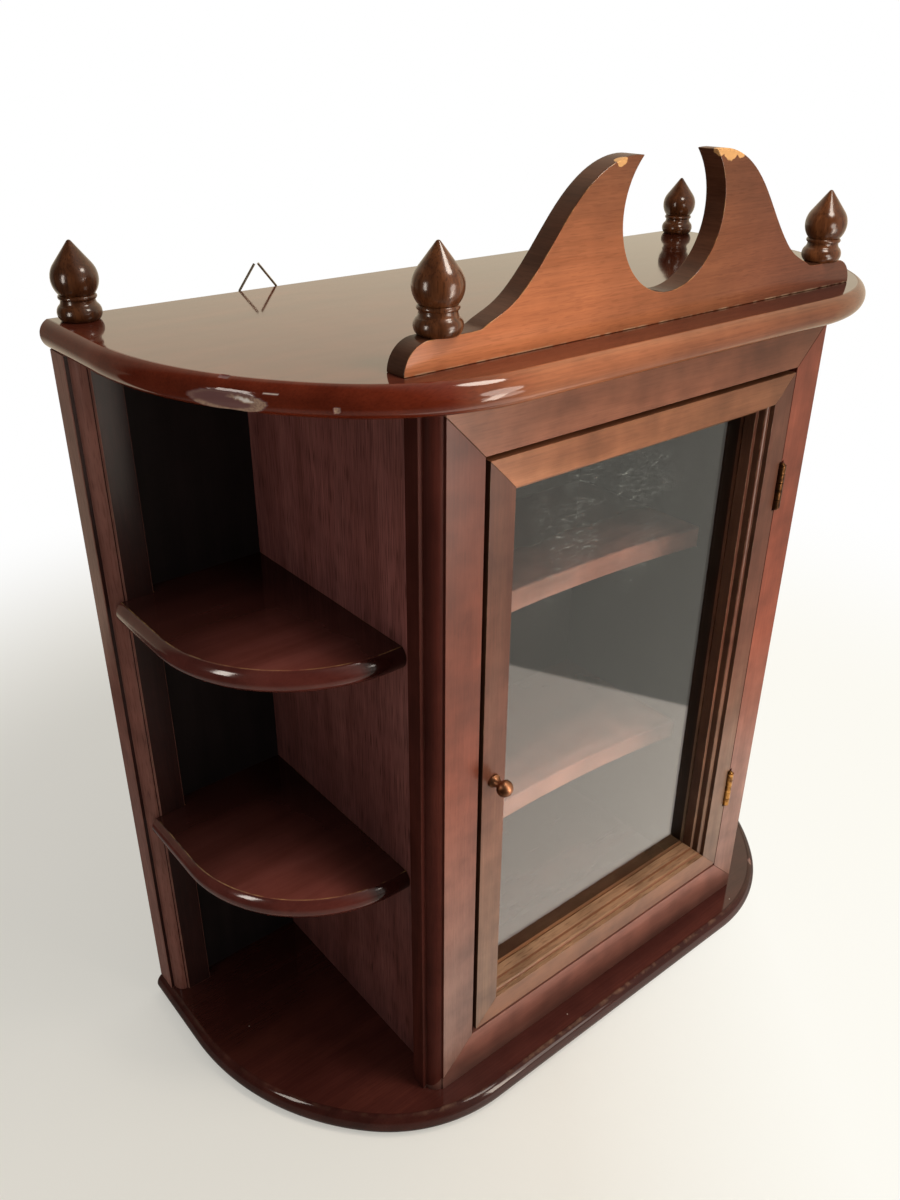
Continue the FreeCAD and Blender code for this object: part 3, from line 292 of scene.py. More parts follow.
def lacqueredWood(name, base, **changes):
    # Stained mahogany under clear lacquer: long uneven bands, fine fibres and dark pores below one gloss skin.
    look = {**plainLook, **base, **changes}
    spread = look["spread"]
    material, tree = newTree(name)
    where = addNode(tree, "ShaderNodeTexCoord").outputs["Object"]
    axes = addNode(tree, "ShaderNodeSeparateXYZ", (where,)).outputs
    noises = {}
    for title, settings in (("figure", {"Detail": 4.0, "Roughness": 0.55, "Distortion": 0.5}),
                            ("fibre", {"Detail": 2.0}), ("pore", {"Detail": 0.0}), ("wave", {"Detail": 1.0})):
        # Coordinates in which a cell of the pattern is long x wide millimetres.
        scale = [1000.0 / look[title + "Wide"]] * 3
        scale["xyz".index(look["grain"])] = 1000.0 / look[title + "Long"]
        stretched = addNode(tree, "ShaderNodeMapping", {"Vector": where, "Location": look["shift"], "Scale": scale})
        noises[title] = addNode(tree, "ShaderNodeTexNoise", {"Vector": stretched.outputs[0], "Scale": 1.0,
                                                             **settings}).outputs[0]
    body = addNode(tree, "ShaderNodeValToRGB", (noises["figure"],))
    body.color_ramp.elements.new(0.5)
    for stop, (place, tone) in zip(body.color_ramp.elements, look["figureStops"]):
        stop.position = place
        stop.color = linear(look[tone])
    streak = addNode(tree, "ShaderNodeMapRange", (noises["fibre"], *spread, 1.0 - look["fibre"], 1.0 + look["fibre"]))
    toned = addNode(tree, "ShaderNodeVectorMath", {0: body.outputs[0], "Scale": streak.outputs[0]}, operation="SCALE")
    fleck = addNode(tree, "ShaderNodeMapRange", (noises["pore"], *look["poreSpan"], 0.0, look["pores"]))
    colour = addNode(tree, "ShaderNodeMix", {0: fleck.outputs[0], 6: toned.outputs[0], 7: linear(look["pore"])},
                     data_type="RGBA").outputs[2]
    # Hand-laid stain is blotchy. Tones along an axis paint light and shade into it.
    blotch = addNode(tree, "ShaderNodeTexNoise", {"Vector": where, "Scale": 1000.0 / look["blotchSize"],
                                                  "Detail": 3.0})
    tones = [(blotch.outputs[0], *spread, 1.0 - look["mottle"], 1.0 + look["mottle"])]
    tones += [(axes[letter], *row) for letter, *row in look["tones"]]
    if "tint" in look:
        # Painted light, shade and reflection: the colour turns from one tint to another along one axis.
        letter, low, high, lowTint, highTint = look["tint"]
        share = addNode(tree, "ShaderNodeMapRange", (axes[letter], low, high))
        tint = addNode(tree, "ShaderNodeMix", {0: share.outputs[0], 6: linear(lowTint), 7: linear(highTint)},
                       data_type="RGBA").outputs[2]
        colour = addNode(tree, "ShaderNodeVectorMath", (colour, tint), operation="MULTIPLY").outputs[0]
    if "warm" in look:
        # Painted light: a pale pool, wider than it is tall; tone falls with distance from it.
        place, taller, rows = look["warm"]
        offset = addNode(tree, "ShaderNodeVectorMath", (where, place), operation="SUBTRACT").outputs[0]
        squashed = addNode(tree, "ShaderNodeVectorMath", (offset, (1.0, 1.0, taller)), operation="MULTIPLY")
        far = addNode(tree, "ShaderNodeVectorMath", (squashed.outputs[0],), operation="LENGTH").outputs["Value"]
        tones += [(far, *row) for row in rows]
    for row in tones:
        tone = addNode(tree, "ShaderNodeMapRange", row)
        colour = addNode(tree, "ShaderNodeVectorMath", {0: colour, "Scale": tone.outputs[0]},
                         operation="SCALE").outputs[0]
    if "raw" in look:
        # Behind this plane the board was never stained.
        unstained = addNode(tree, "ShaderNodeMapRange", (axes["Y"], look["rawFrom"] - 0.4 * mm,
                                                         look["rawFrom"] + 0.4 * mm))
        bands = addNode(tree, "ShaderNodeMapRange", (noises["figure"], *spread, *look["rawBands"]))
        plainWood = addNode(tree, "ShaderNodeVectorMath", {0: linear(look["raw"])[:3], "Scale": bands.outputs[0]},
                            operation="SCALE")
        colour = addNode(tree, "ShaderNodeMix", {0: unstained.outputs[0], 6: colour, 7: plainWood.outputs[0]},
                         data_type="RGBA").outputs[2]
    layers = []             # what lies over the stain: share and colour, from the lowest up
    coat = look["coat"]
    if look["worn"]:
        # The made pieces carry an attribute that is 1 on an arris that is rubbed bare; along the base's front arris
        # and the quarter shelves' arrises this rub also paints a highlight. A second one is 1 where lacquer has
        # flaked off, 2 where the wood is bare, 3 where a white highlight is painted on.
        wear, chip = (addNode(tree, "ShaderNodeAttribute", attribute_name=title).outputs["Fac"]
                      for title in ("wear", "chip"))
        patch, grit = (addNode(tree, "ShaderNodeTexNoise", {"Vector": where, "Scale": 1000.0 / look[title],
                                                            "Detail": detail}).outputs[0]
                       for title, detail in (("patchSize", 3.0), ("gritSize", 1.0)))
        rub = addNode(tree, "ShaderNodeMapRange", (patch, look["rubFrom"], look["rubTo"], 0.0, look["wear"]))
        bare = addNode(tree, "ShaderNodeMath", (wear, rub.outputs[0]), operation="MULTIPLY").outputs[0]
        layers.append((bare, look["bare"]))
        rough = addNode(tree, "ShaderNodeMapRange", (grit, *look["knockedGrit"])).outputs[0]
        for start, title, most in ((0.0, "chip", 1.0), (1.0, "knocked", rough), (2.0, "paintedGlint", 1.0)):
            share = addNode(tree, "ShaderNodeMapRange", (chip, start, start + 1.0, 0.0, most))
            layers.append((share.outputs[0], look[title]))
        flat = addNode(tree, "ShaderNodeMapRange", (chip, 0.0, 2.0, 0.0, look["flakedDull"])).outputs[0]
        dull = addNode(tree, "ShaderNodeMath", (bare, flat), operation="MAXIMUM").outputs[0]
        coat = addNode(tree, "ShaderNodeMapRange", (dull, 0.0, 1.0, coat, look["wornCoat"] * coat)).outputs[0]
        for place, radius in look["bareSpots"]:
            # Stain knocked off a corner: a ragged spot round a point, radius in millimetres.
            far = addNode(tree, "ShaderNodeVectorMath", (where, place), operation="DISTANCE").outputs["Value"]
            ragged = addNode(tree, "ShaderNodeMath", (patch, -radius * look["spotRagged"] * mm, far),
                             operation="MULTIPLY_ADD").outputs[0]
            spot = addNode(tree, "ShaderNodeMapRange", (ragged, *(radius * rim * mm for rim in look["spotRim"])))
            layers.append((spot.outputs[0], look["bare"]))
        if "footDust" in look:
            # A pale broken line of dust and old polish along the foot of the piece.
            foot = addNode(tree, "ShaderNodeMapRange", (
                axes["Z"], *(look["footDust"] + reach * mm for reach in look["footReach"])))
            gaps = addNode(tree, "ShaderNodeMapRange", (patch, *look["footGaps"]))
            line = addNode(tree, "ShaderNodeMath", (foot.outputs[0], gaps.outputs[0]), operation="MULTIPLY")
            layers.append((line.outputs[0], look["footLine"]))
    if look["dust"]:
        # Settled dust: pale specks about 0.7 mm across, one to a cell, in about a third of the cells.
        cell = addNode(tree, "ShaderNodeTexVoronoi", {"Vector": where, "Scale": 1000.0 / look["speckCell"]})
        spot = addNode(tree, "ShaderNodeMapRange", (cell.outputs["Distance"], *look["speckSpan"]))
        kept = addNode(tree, "ShaderNodeSeparateColor", (cell.outputs["Color"],))
        some = addNode(tree, "ShaderNodeMath", (kept.outputs[0], look["speckless"]), operation="GREATER_THAN")
        speck = addNode(tree, "ShaderNodeMath", (spot.outputs[0], some.outputs[0]), operation="MULTIPLY")
        layers.append((speck.outputs[0], look["speck"]))
    for share, code in layers:
        colour = addNode(tree, "ShaderNodeMix", {0: share, 6: colour, 7: linear(code)}, data_type="RGBA").outputs[2]
    coatBump, grainBump = (addNode(tree, "ShaderNodeBump", {"Height": noises[title], "Strength": look[strength],
                                                            "Distance": look[depth] * mm}).outputs[0]
                           for title, strength, depth in (("wave", "ripple", "rippleDepth"),
                                                          ("pore", "poreBump", "poreDepth")))
    # The wood itself is matt: all the shine is the lacquer's.
    shader = addNode(tree, "ShaderNodeBsdfPrincipled", {
        "Base Color": colour, "Roughness": 0.5, "IOR": 1.5, "Specular IOR Level": 0.0, "Normal": grainBump,
        "Coat Weight": coat, "Coat IOR": 1.52, "Coat Roughness": look["coatRough"], "Coat Normal": coatBump})
    addNode(tree, "ShaderNodeOutputMaterial", {"Surface": shader.outputs[0]})
    return material


tarnish = {
    "span": (0.35, 0.6),        # the noise between which tarnish gives way to bright metal
    "rougher": (0.12, -0.05),   # added to the roughness in tarnish and on bright metal
}


def agedMetal(name, **look):
    # Metal with brown tarnish in patches, smoother where hands rub it. The patch size is in mm.
    material, tree = newTree(name)
    where = addNode(tree, "ShaderNodeTexCoord").outputs["Object"]
    patch = addNode(tree, "ShaderNodeTexNoise", {"Vector": where, "Scale": 1000.0 / look["patch"], "Detail": 4.0})
    share = addNode(tree, "ShaderNodeMapRange", (patch.outputs[0], *tarnish["span"]))
    colour = addNode(tree, "ShaderNodeMix", {0: share.outputs[0], 6: linear(look["dark"]), 7: linear(look["bright"])},
                     data_type="RGBA")
    rough = addNode(tree, "ShaderNodeMapRange", (
        patch.outputs[0], *plainLook["spread"], *(look["rough"] + more for more in tarnish["rougher"])))
    shader = addNode(tree, "ShaderNodeBsdfPrincipled", {"Base Color": colour.outputs[2], "Metallic": 1.0,
                                                        "Roughness": rough.outputs[0]})
    addNode(tree, "ShaderNodeOutputMaterial", {"Surface": shader.outputs[0]})
    return material


pane = {
    "tint": "#EDF3EE",
    "smearScale": (200, 200, 2400),     # smears are about 5 mm long and 0.4 mm wide
    "smearTurn": (0, 0.12, 0),          # and slant a little
    "patch": 30.0,                      # mm, they gather in patches of this size
    "smearLimits": {"Z": (0.27, 0.31), "X": (0.05, 0.01), "smear": (0.58, 0.72), "patch": (0.42, 0.56)},
    "smearMost": 0.15,
}


def windowGlass():
    # Float glass: clear, with a few short dry smears left by a cloth in its upper part.
    material, tree = newTree("float_window_glass")
    where = addNode(tree, "ShaderNodeTexCoord").outputs["Object"]
    sweep = addNode(tree, "ShaderNodeMapping", {"Vector": where, "Scale": pane["smearScale"],
                                                "Rotation": pane["smearTurn"]}).outputs[0]
    axes = addNode(tree, "ShaderNodeSeparateXYZ", (where,)).outputs
    values = {"X": axes["X"], "Z": axes["Z"]}
    for title, vector, scale in (("smear", sweep, 1.0), ("patch", where, 1000.0 / pane["patch"])):
        values[title] = addNode(tree, "ShaderNodeTexNoise", {"Vector": vector, "Scale": scale,
                                                             "Detail": 2.0}).outputs[0]
    haze = pane["smearMost"]
    for title, limits in pane["smearLimits"].items():
        step = addNode(tree, "ShaderNodeMapRange", (values[title], *limits))
        haze = addNode(tree, "ShaderNodeMath", (haze, step.outputs[0]), operation="MULTIPLY").outputs[0]
    clear = addNode(tree, "ShaderNodeMath", (1.0, haze), operation="SUBTRACT")
    shader = addNode(tree, "ShaderNodeBsdfPrincipled", {
        "Base Color": linear(pane["tint"]), "Roughness": 0.0, "IOR": 1.52, "Transmission Weight": clear.outputs[0]})
    addNode(tree, "ShaderNodeOutputMaterial", {"Surface": shader.outputs[0]})
    return material


catchPlastic = {
    "dark": "#3A2318",
    "light": "#4A2E20",
    "grain": 1500.0,            # cells to a metre: about 0.7 mm each
    "grainDepth": 0.1,          # mm
}


def brownPlastic():
    # Moulded polystyrene: even brown with a fine satin grain.
    material, tree = newTree("moulded_brown_polystyrene")
    where = addNode(tree, "ShaderNodeTexCoord").outputs["Object"]
    grit = addNode(tree, "ShaderNodeTexNoise", {"Vector": where, "Scale": catchPlastic["grain"], "Detail": 2.0})
    colour = addNode(tree, "ShaderNodeMix", {0: grit.outputs[0], 6: linear(catchPlastic["dark"]),
                                             7: linear(catchPlastic["light"])}, data_type="RGBA")
    bump = addNode(tree, "ShaderNodeBump", {"Height": grit.outputs[0], "Strength": 0.1,
                                            "Distance": catchPlastic["grainDepth"] * mm})
    shader = addNode(tree, "ShaderNodeBsdfPrincipled", {"Base Color": colour.outputs[2], "Roughness": 0.45,
                                                        "IOR": 1.55, "Normal": bump.outputs[0]})
    addNode(tree, "ShaderNodeOutputMaterial", {"Surface": shader.outputs[0]})
    return material


redBrown = {"dark": "#4E241E", "mid": "#592B24", "light": "#64332A", "pore": "#3A1812", "bare": "#A88468",
            "mottle": 0.14}
frontBrown = {"dark": "#82503A", "mid": "#8E5A43", "light": "#99644C", "pore": "#5A3325", "bare": "#C9A482",
              "coat": 0.55, "coatRough": 0.28, "fibre": 0.07, "pores": 0.14, "wear": 0.3, "mottle": 0.24}
doorBrown = {"dark": "#84543A", "mid": "#915F42", "light": "#9C694B", "pore": "#5C3926", "bare": "#C9A482",
             "coat": 0.55, "coatRough": 0.28, "fibre": 0.08, "pores": 0.16, "wear": 0.3, "mottle": 0.22}
orangeBrown = {"dark": "#965836", "mid": "#A2623F", "light": "#AD6C48", "pore": "#6E3E24", "bare": "#C4945F",
               "coat": 0.6, "coatRough": 0.16, "pores": 0.24, "poreLong": 5, "poreWide": 0.45}
veneerBrown = {"dark": "#6C3E38", "mid": "#7A4944", "light": "#86534D", "pore": "#3E1E15", "bare": "#A97B58",
               "coat": 0.4, "coatRough": 0.3, "fibre": 0.3, "fibreWide": 0.6, "pores": 0.7, "poreLong": 14,
               "poreWide": 0.5}
turnedBrown = {"dark": "#422412", "mid": "#58321B", "light": "#6C4024", "pore": "#2A150A", "worn": False,
               "figureLong": 40, "figureWide": 4, "coat": 0.85, "coatRough": 0.19, "pores": 0.45, "poreLong": 5,
               "mottle": 0.2}
# Near black: dark stain, with the shade deep inside the cabinet painted into it.
backBrown = {"dark": "#241E1D", "mid": "#282120", "light": "#2C2524", "pore": "#1C1716", "bare": "#5A4030",
             "coat": 0.2, "coatRough": 0.35, "fibre": 0.04, "pores": 0.12, "raw": "#8A6A4C", "rawFrom": 0.0852}
hornSpots = [((0.0316, -0.0749, 0.4885), 5.0), ((0.0405, -0.0749, 0.488), 3.5), ((0.0258, -0.0749, 0.489), 3.5),
             ((-0.0367, -0.0749, 0.4882), 3.0)]

# Tones paint light and shade: rows of axis, where it starts and ends in m, and the share of light at each end.
# Painted light: shelf tops are lit warmer towards their round front.
paintedFrontLight = [(0.015, 0.048, 2.2, 1.0), (0.048, 0.09, 1.0, 0.42)]
# Painted light: stiles lit brighter at mid height, darker above and below.
paintedMidLight = [("Z", 0.20, 0.32, 1.18, 0.66), ("Z", 0.07, 0.18, 0.82, 1.0)]
# Painted shade: the top darkens towards the right.
boardWood = lacqueredWood(
    "polished_mahogany_board", redBrown, grain="x", wear=0.9, dark="#50231A", mid="#5C2A1D", light="#683222",
    tones=[("X", -0.1, 0.1, 1.0, 0.4)])
# Painted light: the nose is a paler, more orange copy of the board's wood, brightest left of the middle; painted
# shade darkens its far left end and the whole run to the right.
noseWood = lacqueredWood(
    "polished_mahogany_nose", redBrown, grain="x", wear=0.9, dark="#905638", mid="#9C6040", light="#A66A49",
    coat=0.66, coatRough=0.08, ripple=0.012, pores=0.12, tint=("X", -0.135, -0.095, "#A8726C", "#FFFFFF"),
    tones=[("X", -0.08, 0.0, 1.0, 0.64), ("X", 0.0, 0.1, 1.0, 0.62)])
# Painted shade: the base's top darkens towards the back.
baseWood = lacqueredWood(
    "polished_mahogany_base", redBrown, grain="x", shift=(1.3, 2.2, 0.6), dust=True, wear=0.9, dark="#3D1B16",
    mid="#46211B", light="#50271F", tones=[("Y", -0.06, 0.03, 1.1, 0.62)])
baseEdgeWood = lacqueredWood(
    "polished_mahogany_base_edge", redBrown, grain="x", wear=0.9, dark="#341814", mid="#3C1D18", light="#45231D",
    coat=0.5, ripple=0.02)
# Painted shade: the inner shelves darken towards the back.
innerWood = lacqueredWood(
    "stained_mahogany_inner_shelf", frontBrown, grain="x", shift=(2.7, 1.1, 0.3), worn=False, dark="#7C5046",
    mid="#895A4F", light="#94655A", coat=0.9, coatRough=0.1, pores=0.08, fibre=0.04,
    tones=[("Y", -0.01, 0.03, 1.12, 0.22)])
# The gold rubbed arrises are wear and also a painted highlight along the noses' top arris.
shelfLook = dict(redBrown, grain="x", shift=(3.1, 0.4, 1.7), bare="#C49A62", wear=0.7, rubFrom=0.38, coatRough=0.09,
                 dark="#4E2720", mid="#562C25", light="#5E322B", fibre=0.03, pores=0.1, mottle=0.08)
shelfWoods = {}
for side, sign in (("left", -1), ("right", 1)):
    # Painted shade: both fade to dark towards the side panel.
    topShade, noseShade = (("X", sign * near, sign * far, 1.0, tone)
                         for near, far, tone in ((0.160, 0.14, 0.5), (0.150, 0.145, 0.3)))
    shelfWoods[side] = (
        lacqueredWood("polished_mahogany_shelf_" + side, shelfLook, tones=[topShade],
                      warm=((sign * 0.180, -0.024, 0.0), 0.0, paintedFrontLight)),
        lacqueredWood("polished_mahogany_shelf_nose_" + side, shelfLook, dark="#52251F", mid="#5C2B24",
                      light="#66332B", coatRough=0.13, ripple=0.02, tones=[noseShade]))
# Painted shade: the top rail darkens towards the right and under the top board's nose.
railWood = lacqueredWood(
    "stained_mahogany_rail", frontBrown, grain="x",
    tones=[("X", -0.12, 0.08, 1.1, 0.6), ("Z", 0.386, 0.396, 1.0, 0.78)])
# Painted shade: the bottom rail darkens towards its foot.
lowRailWood = lacqueredWood(
    "stained_mahogany_low_rail", frontBrown, grain="x", dark="#825145", mid="#8E5C4F", light="#99675A",
    tones=[("Z", 0.016, 0.037, 0.36, 1.0)])
# Painted reflection: the frame stiles turn less orange towards the foot, where they mirror the floor; painted light
# brightens them towards the right and at mid height.
stileWood = lacqueredWood(
    "stained_mahogany_stile", frontBrown, grain="z", dark="#7A5649", mid="#866155", light="#916D61",
    tint=("Z", 0.09, 0.22, "#FFFFFF", "#F1B49C"), tones=[("X", -0.12, 0.12, 0.95, 1.2)] + paintedMidLight)
cornerWood = lacqueredWood(
    "dark_stained_corner", redBrown, grain="z", dark="#3A1A15", mid="#46201A", light="#522820", coat=0.08,
    coatRough=0.35, wear=0.08)
# Painted light: the back posts' sides and rounds are a paler copy, lit from the left.
litPostWood = lacqueredWood(
    "polished_mahogany_post", redBrown, grain="z", dark="#71473D", mid="#7E5248", light="#8A5E53", coat=0.35,
    coatRough=0.22, wear=0.3)
# Painted shade: the back posts' front faces are a near-black copy, in the shade of the face frame.
shadedPostFaceWood = lacqueredWood(
    "painted_shade_post_face", redBrown, grain="z", dark="#24110E", mid="#2C1613", light="#341C18", coat=0.3,
    coatRough=0.25, wear=0.2)
# Painted shade: the door's top rail and glass stops darken towards the right.
doorRailWood = lacqueredWood("stained_door_rail", doorBrown, grain="x", tones=[("X", -0.09, 0.09, 1.2, 0.52)])
sillWood = lacqueredWood(
    "dusty_door_sill", doorBrown, grain="x", shift=(0.8, 0.2, 2.6), coat=0.65, dark="#754A33", mid="#81543A",
    light="#8B5D42")
dustyWood = lacqueredWood(
    "dusty_moulding", doorBrown, grain="x", dark="#7C5C44", mid="#8E6C52", light="#A07E62", coat=0.15, pores=0.5)
# Painted shade: the side faces of the door stiles, the moulding's walls among them, are dark as if unlit.
shadedWallWood = lacqueredWood(
    "painted_shade_moulding_wall", doorBrown, grain="z", dark="#3A241A", mid="#452C20", light="#503528", coat=0.3)
# Painted reflection: the door stiles turn paler towards the foot, where they mirror the floor; painted shade darkens
# them towards the right, and painted light brightens them at mid height.
doorStileWood = lacqueredWood(
    "stained_door_stile", doorBrown, grain="z", dark="#755849", mid="#836451", light="#8E735F",
    tint=("Z", 0.09, 0.22, "#FFFFFF", "#D8B1AA"), tones=[("X", -0.1, 0.1, 0.98, 0.85)] + paintedMidLight)
# Painted light: a pale pool at the lower left of the pediment; painted shade darkens it towards the top and turns it
# darker and pinker towards the right.
pedimentWood = lacqueredWood(
    "golden_mahogany_pediment", orangeBrown, grain="x", bareSpots=hornSpots, footDust=0.4195,
    tint=("X", 0.03, 0.13, "#FFFFFF", "#F0DBED"), tones=[("Z", 0.43, 0.48, 1.08, 0.68)],
    warm=((-0.105, -0.0749, 0.425), 1.6, [(0.02, 0.12, 1.28, 0.6), (0.12, 0.25, 1.0, 0.46)]))
endGrain = lacqueredWood(
    "stained_end_grain", orangeBrown, grain="y", dark="#3E2418", mid="#4A2C1E", light="#563525", pore="#2E1910",
    coat=0.35, bareSpots=hornSpots)
# Painted light and shade: the side panels darken towards the bottom and are lit paler towards the back and the front
# edge.
veneerWood = lacqueredWood(
    "mahogany_veneer_side", veneerBrown, grain="z",
    tones=[("Z", 0.19, 0.30, 0.6, 1.15), ("Y", -0.05, 0.07, 0.95, 1.45), ("Y", -0.058, -0.015, 1.4, 1.0)])
backWood = lacqueredWood("dark_stain_and_shade_back", backBrown, grain="z")
turnedWood = lacqueredWood("turned_mahogany_finial", turnedBrown, grain="z")
hardWood = lacqueredWood("plain_beech_dowel", orangeBrown, grain="z", worn=False, coat=0.0)
brass = agedMetal("antique_brass", dark="#5A3A20", bright="#A87C44", patch=4.0, rough=0.3)
darkBrass = agedMetal("darkened_brass", dark="#2C1C12", bright="#5A3C24", patch=4.0, rough=0.4)
knobBrass = agedMetal("rubbed_copper_brass", dark="#54321F", bright="#94664A", patch=5.0, rough=0.42)
steel = agedMetal("zinc_plated_steel", dark="#8C8678", bright="#B2AA98", patch=6.0, rough=0.32)
glass = windowGlass()
plastic = brownPlastic()
print("finishes mixed")

finishOf = {name: finish for finish, names in (
    (baseWood, "bottom_board"), (boardWood, "top_board"), (hardWood, "top_dowels pediment_dowels"),
    (shadedPostFaceWood, "back_post_left back_post_right"), (backWood, "back_panel"),
    (veneerWood, "side_panel_left side_panel_right"), (stileWood, "frame_stile_left frame_stile_right"),
    (railWood, "frame_rail_top"), (lowRailWood, "frame_rail_bottom"),
    (innerWood, "inner_shelf_upper inner_shelf_lower"),
    (shelfWoods["left"][0], "quarter_shelf_left_upper quarter_shelf_left_lower"),
    (shelfWoods["right"][0], "quarter_shelf_right_upper quarter_shelf_right_lower"),
    (pedimentWood, "pediment"),
    (turnedWood, "finial_front_left finial_front_right finial_back_left finial_back_right"),
    (doorStileWood, "door_stile_left door_stile_right glass_stop_left glass_stop_right"),
    (doorRailWood, "door_rail_top glass_stop_top glass_stop_bottom"), (sillWood, "door_rail_bottom"),
    (glass, "door_glass"), (knobBrass, "door_knob"), (plastic, "catch_body"),
    (darkBrass, "hinge_frame_leaf_upper hinge_door_leaf_upper hinge_pin_upper"),
    (brass, "hinge_frame_leaf_lower hinge_door_leaf_lower hinge_pin_lower hinge_frame_screws hinge_door_screws"),
    (steel, "base_screws back_brads shelf_brads hanger_strap_left hanger_strap_right hanger_ring_left "
            "hanger_ring_right hanger_screws knob_screw catch_strike catch_screws strike_screws"),
) for name in names.split()}
for name, finish in finishOf.items():
    nodes[name].material_slots[0].material = finish
nodes["door_glass"].visible_shadow = False
print("finishes laid on")


def standFor(mesh, name, node, body, sharpAngle):
    # The piece takes the node's place, finish and slot.
    mesh.polygons.foreach_set("use_smooth", np.ones(len(mesh.polygons), dtype=bool))
    mesh.set_sharp_from_angle(angle=math.radians(sharpAngle))
    mesh.materials.clear()
    mesh.materials.append(finishOf[node])
    piece = bpy.data.objects.new(name, mesh)
    scene.collection.objects.link(piece)
    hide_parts(node)
    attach(piece, body)
    return piece


def ease(low, high, value):
    # Smooth step from 0 at low to 1 at high, for whole arrays.
    t = np.clip((value - low) / (high - low), 0.0, 1.0)
    return t * t * (3 - 2 * t)


boards = {
    "nose": 4.2,                # mm, how far the rounded edge stands out
    "cornerAcross": 116.0,      # run of a front corner's curve along the front
    "cornerDeep": 140.0,        # and along the side
    "step": 0.6,                # spacing of the grid along the edge
    "rows": 30,                 # points round the nose
    "lip": 0.8,                 # width of the flat ring inside each arris
    "sharpAngle": 20,           # degrees
    "screwHole": 3.45,          # radius of the pockets for the base screws
    "screwSink": 0.65,
    "screwPoints": 40,          # points round a pocket
    "screwsAt": [(-202.5, 91.7), (202.5, 91.7), (-121.4, -72.1), (121.4, -72.1)],
    # Damage: place along the edge from the back left, height, half length, half height, depth, all in mm, and how
    # pale its rim is; at 2 it is a painted white highlight.
    "topChips": [(132.0, 4.2, 16.5, 4.7, 0.55, 1.0), (174.2, 4.1, 1.4, 1.5, 0.4, 1.0),
                 (150.3, 8.9, 3.2, 0.3, 0.1, 2.0), (130.3, 12.8, 2.4, 0.6, 0.6, 0.0),
                 (563.0, 11.8, 2.2, 1.0, 0.4, 0.6), (1202.0, 3.6, 3.5, 1.6, 0.5, 0.8)],
    "baseChips": [(512.0, 12.3, 3.0, 0.8, 0.4, 0.5), (905.0, 12.2, 2.2, 0.9, 0.4, 0.8),
                  (1106.0, 2.2, 2.6, 1.2, 0.5, 0.8)],
    "chipRim": (1.04, 0.94),    # the lacquer ends between these, as shares of the way out to the rim
    "chipWall": (1.05, 0.6),    # and the cut deepens between these
    "longChip": 10,             # half length past which a chip shows more than bare wood
    "waver": [(0.04, 3, 1, 0.0), (0.02, 7, 2, 0.0), (0.015, 23, 0, 0.7)],   # share, waves, drift by number, phase
    "topRub": [(0.0, 1400.0, 0.04)],                        # worn top arris: from, to, how much
    # From 196 to 470 mm the rub is wear and also a painted highlight line along the front arris.
    "baseRubAndGlint": [(0.0, 1400.0, 0.06), (196.0, 470.0, 0.32)],
    "rubRun": (14, 40),         # the wear grows and fades over these lengths
    "rubTop": (1.5, 0.2),       # its reach below the top arris
    "rubFoot": (1.2, 0.2),      # and above the lower arris, which is half as worn
}


def boardEdge(half, back, front):
    # Plan of the edge from back left to back right: straight side, two tangent 45 degree arcs, straight front,
    # and the same mirrored. Gives distance along, place and outward direction at even steps.
    side = half - boards["nose"]
    face = front + boards["nose"]
    bend = front + boards["cornerDeep"]
    flat = half - boards["cornerAcross"]
    across = side - flat
    deep = bend - face
    knee = math.sin(math.pi / 4)
    share = (1 - knee) / knee
    wide = (deep - across * share) / (1 - share)
    close = (across - wide * (1 - knee)) / knee
    a = back - bend
    b = a + wide * math.pi / 4
    c = b + close * math.pi / 4
    total = 2 * (c + flat)
    along = np.linspace(0.0, total, int(round(total / boards["step"])) + 1)
    run = np.minimum(along, total - along)
    zones = [run < a, run < b, run < c]
    turn = np.select(zones, [0 * run, (run - a) / wide, math.pi / 4 + (run - b) / close], math.pi / 2 + 0 * run)
    x = np.select(zones, [-side + 0 * run, wide - side - wide * np.cos(turn), -flat - close * np.cos(turn)],
                  run - c - flat)
    y = np.select(zones, [back - run, bend - wide * np.sin(turn), face + close - close * np.sin(turn)],
                  face + 0 * run)
    flip = np.where(along > total / 2, -1.0, 1.0)
    return along, flip * x, y, -flip * np.cos(turn), -np.sin(turn)


def damage(along, height, chips):
    # Each chip is an oval whose rim wavers with a few sines round it: rim = 1 on the outline, 0 at the middle.
    # It is cut to an even depth inside. A long one is grey within, bare along its lower rim and its right end, and
    # carries a painted white highlight towards its upper right; a short one is bare all over, and a painted white
    # highlight where its pale value is 2.
    dent = np.zeros(np.broadcast_shapes(along.shape, height.shape))
    flaked = np.zeros_like(dent)
    for number, (place, level, halfLong, halfHigh, depth, pale) in enumerate(chips):
        across = (along - place) / halfLong
        up = (height - level) / halfHigh
        angle = np.arctan2(up, across)
        waver = 1.0
        for part, waves, drift, phase in boards["waver"]:
            waver = waver + part * np.sin(waves * angle + drift * number + phase)
        rim = np.hypot(across, up) / waver
        inside = ease(*boards["chipRim"], rim)
        dent = np.maximum(dent, depth * ease(*boards["chipWall"], rim))
        share = 1.0
        if halfLong > boards["longChip"]:
            lower = ease(0.0, -0.45, up) * ease(0.6, 0.8, rim)
            end = ease(0.5, 0.75, across)
            ragged = 0.03 * np.sin(31 * across) + 0.03 * np.sin(53 * across + 1)
            glint = ease(0.22, 0.08, np.abs(rim - 0.56 + ragged)) * ease(1.7, 0.7, angle) * ease(-0.05, 0.25, angle)
            share = np.maximum(np.maximum(0.25 * ease(0.75, 0.9, rim), np.maximum(lower, end)), 2 * glint)
        flaked = np.maximum(flaked, inside * (1 + pale * share))
    return dent, flaked


